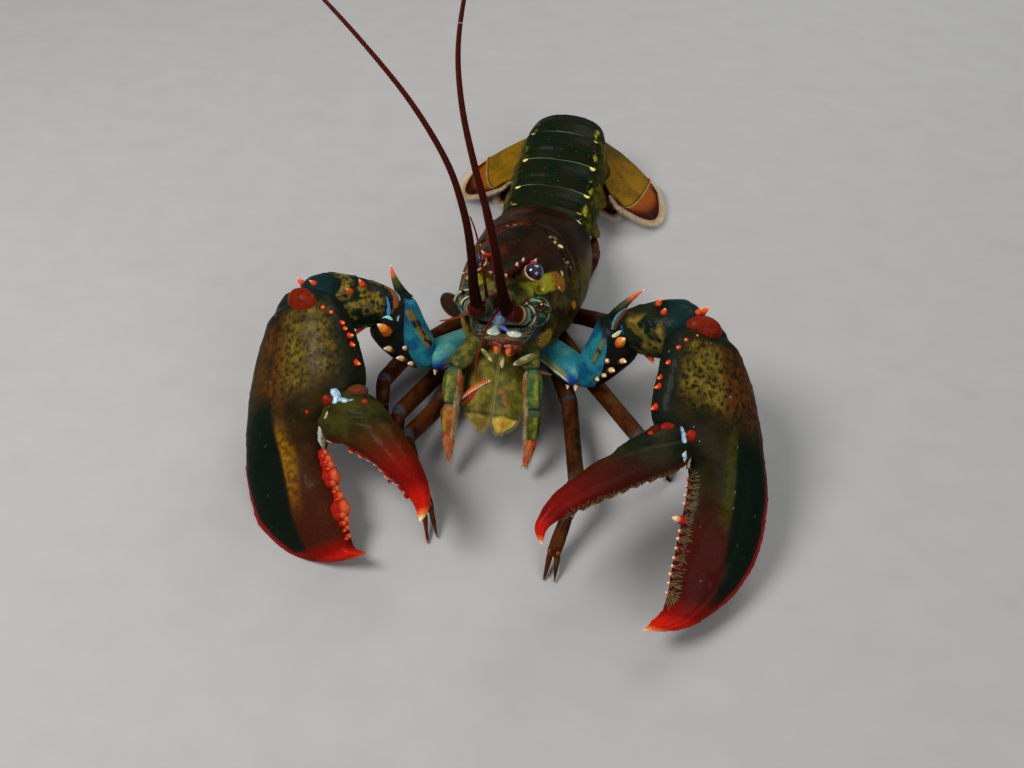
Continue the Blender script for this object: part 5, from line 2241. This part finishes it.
def mouth_hairs():
    """soft fringes on the inner sides of the mouth legs and along their plates"""
    draw = random.Random(5)
    beige, pale = colour(140, 112, 60), colour(206, 190, 138)
    for word, side in (("left", 1.0), ("right", -1.0)):
        fringe = Fringe()
        joints = [Vector(p) for p in MOUTH_LEGS[word]]
        widths = [4.6, 3.9, 3.4, 2.6, 0.7]
        for k in (1, 2, 3):
            a, b = joints[k], joints[k + 1]
            way = (b - a).normalized()
            inward = (Vector((-side, 0.0, 0.0)) - way * way.dot(Vector((-side, 0.0, 0.0)))).normalized()
            face = way.cross(inward).normalized()
            if face.z < 0.0:
                face = -face
            for n in range(420 if k < 3 else 460):
                t = draw.random()
                wide = blend(widths[k], widths[k + 1], t)
                turn = math.radians(draw.uniform(-40.0, 50.0) if k < 3 else draw.uniform(-180.0, 180.0))
                out = inward * math.cos(turn) + face * math.sin(turn)
                root = a + (b - a) * t + out * (wide * 0.85)
                go = out * 0.7 + way * (0.9 + 0.4 * draw.random())
                go = go + Vector([0.3 * (draw.random() - 0.5) for m in range(3)])
                length = (2.8 + 3.2 * draw.random()) * (1.0 if k < 3 else 0.75)
                place = (0.1 + 0.25 * k + 0.2 * t, 0.5 + turn / 8.0)
                shade = colour(170, 96, 50) if k == 3 else beige
                fringe.hair(root, go, length, 0.08, -vec(out) * 0.15, shade, pale, place)
        grid, _, _ = plate_grid(side)
        rows, columns = grid.shape[:2]
        for n in range(900):
            if n % 3:
                r, c = draw.randrange(int(0.4 * rows), rows), 0 if draw.random() < 0.45 else columns - 1
                out = -side if c == 0 else side
                go = Vector((0.5 * out, -0.75, -0.35))
            else:
                r, c = rows - 1 - int(abs(draw.gauss(0.0, 5.0))), draw.randrange(2, columns - 2)
                go = Vector((0.25 * side * (c / columns - 0.5), -0.85, -0.4))
            r = max(min(r, rows - 1), 0)
            go = go + Vector([0.35 * (draw.random() - 0.5) for m in range(3)])
            root = grid[r, c] - vec(go) * 0.4 + np.array((0.0, 0.0, 0.5 * (draw.random() - 0.5)))
            length = 1.8 + 1.8 * draw.random()
            fringe.hair(root, go, length, 0.06, (0.0, 0.0, -0.15), colour(110, 96, 50),
                        colour(176, 162, 112),
                        (0.1 + 0.8 * r / rows, 0.1 + 0.8 * c / columns))
        if word == "right":
            points = [Vector(p) for p in CREST]
            for n in range(90):
                t = draw.uniform(0.6, 1.0)
                at = whip_point(points, t) + Vector((0.3, -2.0, -1.2))
                go = Vector((-0.5 + 0.5 * (draw.random() - 0.5), -0.8, 0.1 + 0.3 * (draw.random() - 0.5)))
                fringe.hair(at, go, 2.4 + 1.6 * draw.random(), 0.07, (0.0, 0.0, -0.2), colour(60, 36, 18),
                            colour(110, 80, 44), (0.05 + 0.05 * t, 0.05))
        fringe.object("mouth_hairs_" + word, "mouth_shell")


# Stage, lights and camera

def stage():
    """plain pale floor that curves up far behind the animal"""
    count = 60
    grid = np.zeros((count, 2, 3))
    for k in range(count):
        t = k / (count - 1)
        y = -4.0 + 7.0 * t
        z = 0.0 if y < 1.6 else (y - 1.6) ** 2 * 0.8
        grid[k, 0] = (-5.0, y, z)
        grid[k, 1] = (5.0, y, z)
    faces = [(2 * k, 2 * k + 1, 2 * k + 3, 2 * k + 2) for k in range(count - 1)]
    mesh = bpy.data.meshes.new("floor")
    mesh.from_pydata(grid.reshape(-1, 3).tolist(), [], faces)
    mesh.shade_smooth()
    floor = bpy.data.objects.new("floor", mesh)
    bpy.context.scene.collection.objects.link(floor)
    mesh.materials.append(floor_material())


def lamp(name, place, target, size, power, tint=(1.0, 1.0, 1.0)):
    """round lamp that points at a target"""
    light = bpy.data.lights.new(name, "AREA")
    light.shape = "DISK"
    light.size = size
    light.energy = power
    light.color = tint
    obj = bpy.data.objects.new(name, light)
    bpy.context.scene.collection.objects.link(obj)
    obj.location = place
    obj.rotation_euler = (Vector(target) - Vector(place)).to_track_quat("-Z", "Y").to_euler()


def lights():
    """even studio light with a warmer main lamp"""
    world = bpy.data.worlds.new("studio")
    world.use_nodes = True
    world.node_tree.nodes["Background"].inputs["Color"].default_value = (0.93, 0.93, 0.90, 1.0)
    world.node_tree.nodes["Background"].inputs["Strength"].default_value = 0.22
    bpy.context.scene.world = world
    bpy.context.scene.view_settings.view_transform = "Standard"
    lamp("key", (-0.55, -0.25, 0.95), (0.0, 0.0, 0.05), 0.5, 12.0, (1.0, 0.97, 0.93))
    lamp("fill", (0.8, -0.7, 0.7), (0.0, -0.05, 0.05), 0.8, 5.5)
    lamp("back", (0.3, 0.9, 0.8), (0.0, 0.05, 0.05), 0.7, 6.0)


# Camera: place in millimetres, turn, lift and roll in degrees, focal length and picture width in pixels
CAMERA_PLACE = (89.9, -336.0, 427.7)
CAMERA_TURN = 15.0
CAMERA_LIFT = 52.0
CAMERA_ROLL = -2.3
FOCAL_PIXELS = 983.5
PICTURE_WIDTH = 1024.0
SENSOR_WIDTH = 36.0


def camera():
    """camera that sees the model as the photo does"""
    place = (Vector(CAMERA_PLACE) + OFFSET) * UNIT
    turn, lift, roll = (math.radians(angle) for angle in (CAMERA_TURN, CAMERA_LIFT, CAMERA_ROLL))
    back = Vector((math.sin(turn) * math.cos(lift), -math.cos(turn) * math.cos(lift), math.sin(lift)))
    right = Vector((math.cos(turn), math.sin(turn), 0.0))
    above = back.cross(right)
    right, above = (right * math.cos(roll) + above * math.sin(roll),
                    above * math.cos(roll) - right * math.sin(roll))
    data = bpy.data.cameras.new("camera")
    data.sensor_width = SENSOR_WIDTH
    data.lens = SENSOR_WIDTH * FOCAL_PIXELS / PICTURE_WIDTH
    data.clip_start = 0.01
    obj = bpy.data.objects.new("camera", data)
    bpy.context.scene.collection.objects.link(obj)
    rows = [(right[k], above[k], back[k], place[k]) for k in range(3)]
    obj.matrix_world = Matrix((rows[0], rows[1], rows[2], (0.0, 0.0, 0.0, 1.0)))
    bpy.context.scene.camera = obj


def build():
    """every piece, in the order of the random draws"""
    carapace()
    face_plate()
    breast_plate()
    for index in range(6):
        tail_ring(index)
    for name in FAN:
        fan_blade(name)
    for word, arm, axes, palm, finger in (
            ("cutter", CUTTER_ARM, CUTTER_AXES, CUTTER_PALM, CUTTER_FINGER),
            ("crusher", CRUSHER_ARM, CRUSHER_AXES, CRUSHER_PALM, CRUSHER_FINGER)):
        claw_part(word, "palm", axes, palm)
        claw_part(word, "finger", axes, finger)
        for kind in ARM_PIECES:
            arm_part(word, kind, arm)
    fan_fringes()
    claw_bristles()
    mouth_hairs()
    claw_joints()
    arm_joints()
    for name, joints in LEGS.items():
        leg(name, joints)
    antennae()
    for word, side in (("left", 1.0), ("right", -1.0)):
        antenna_base(word, side)
        antennule(word, side)
        eye(word, side)
        maxilliped(word, side)
    mandibles()
    palps()
    stage()
    lights()
    camera()


build()
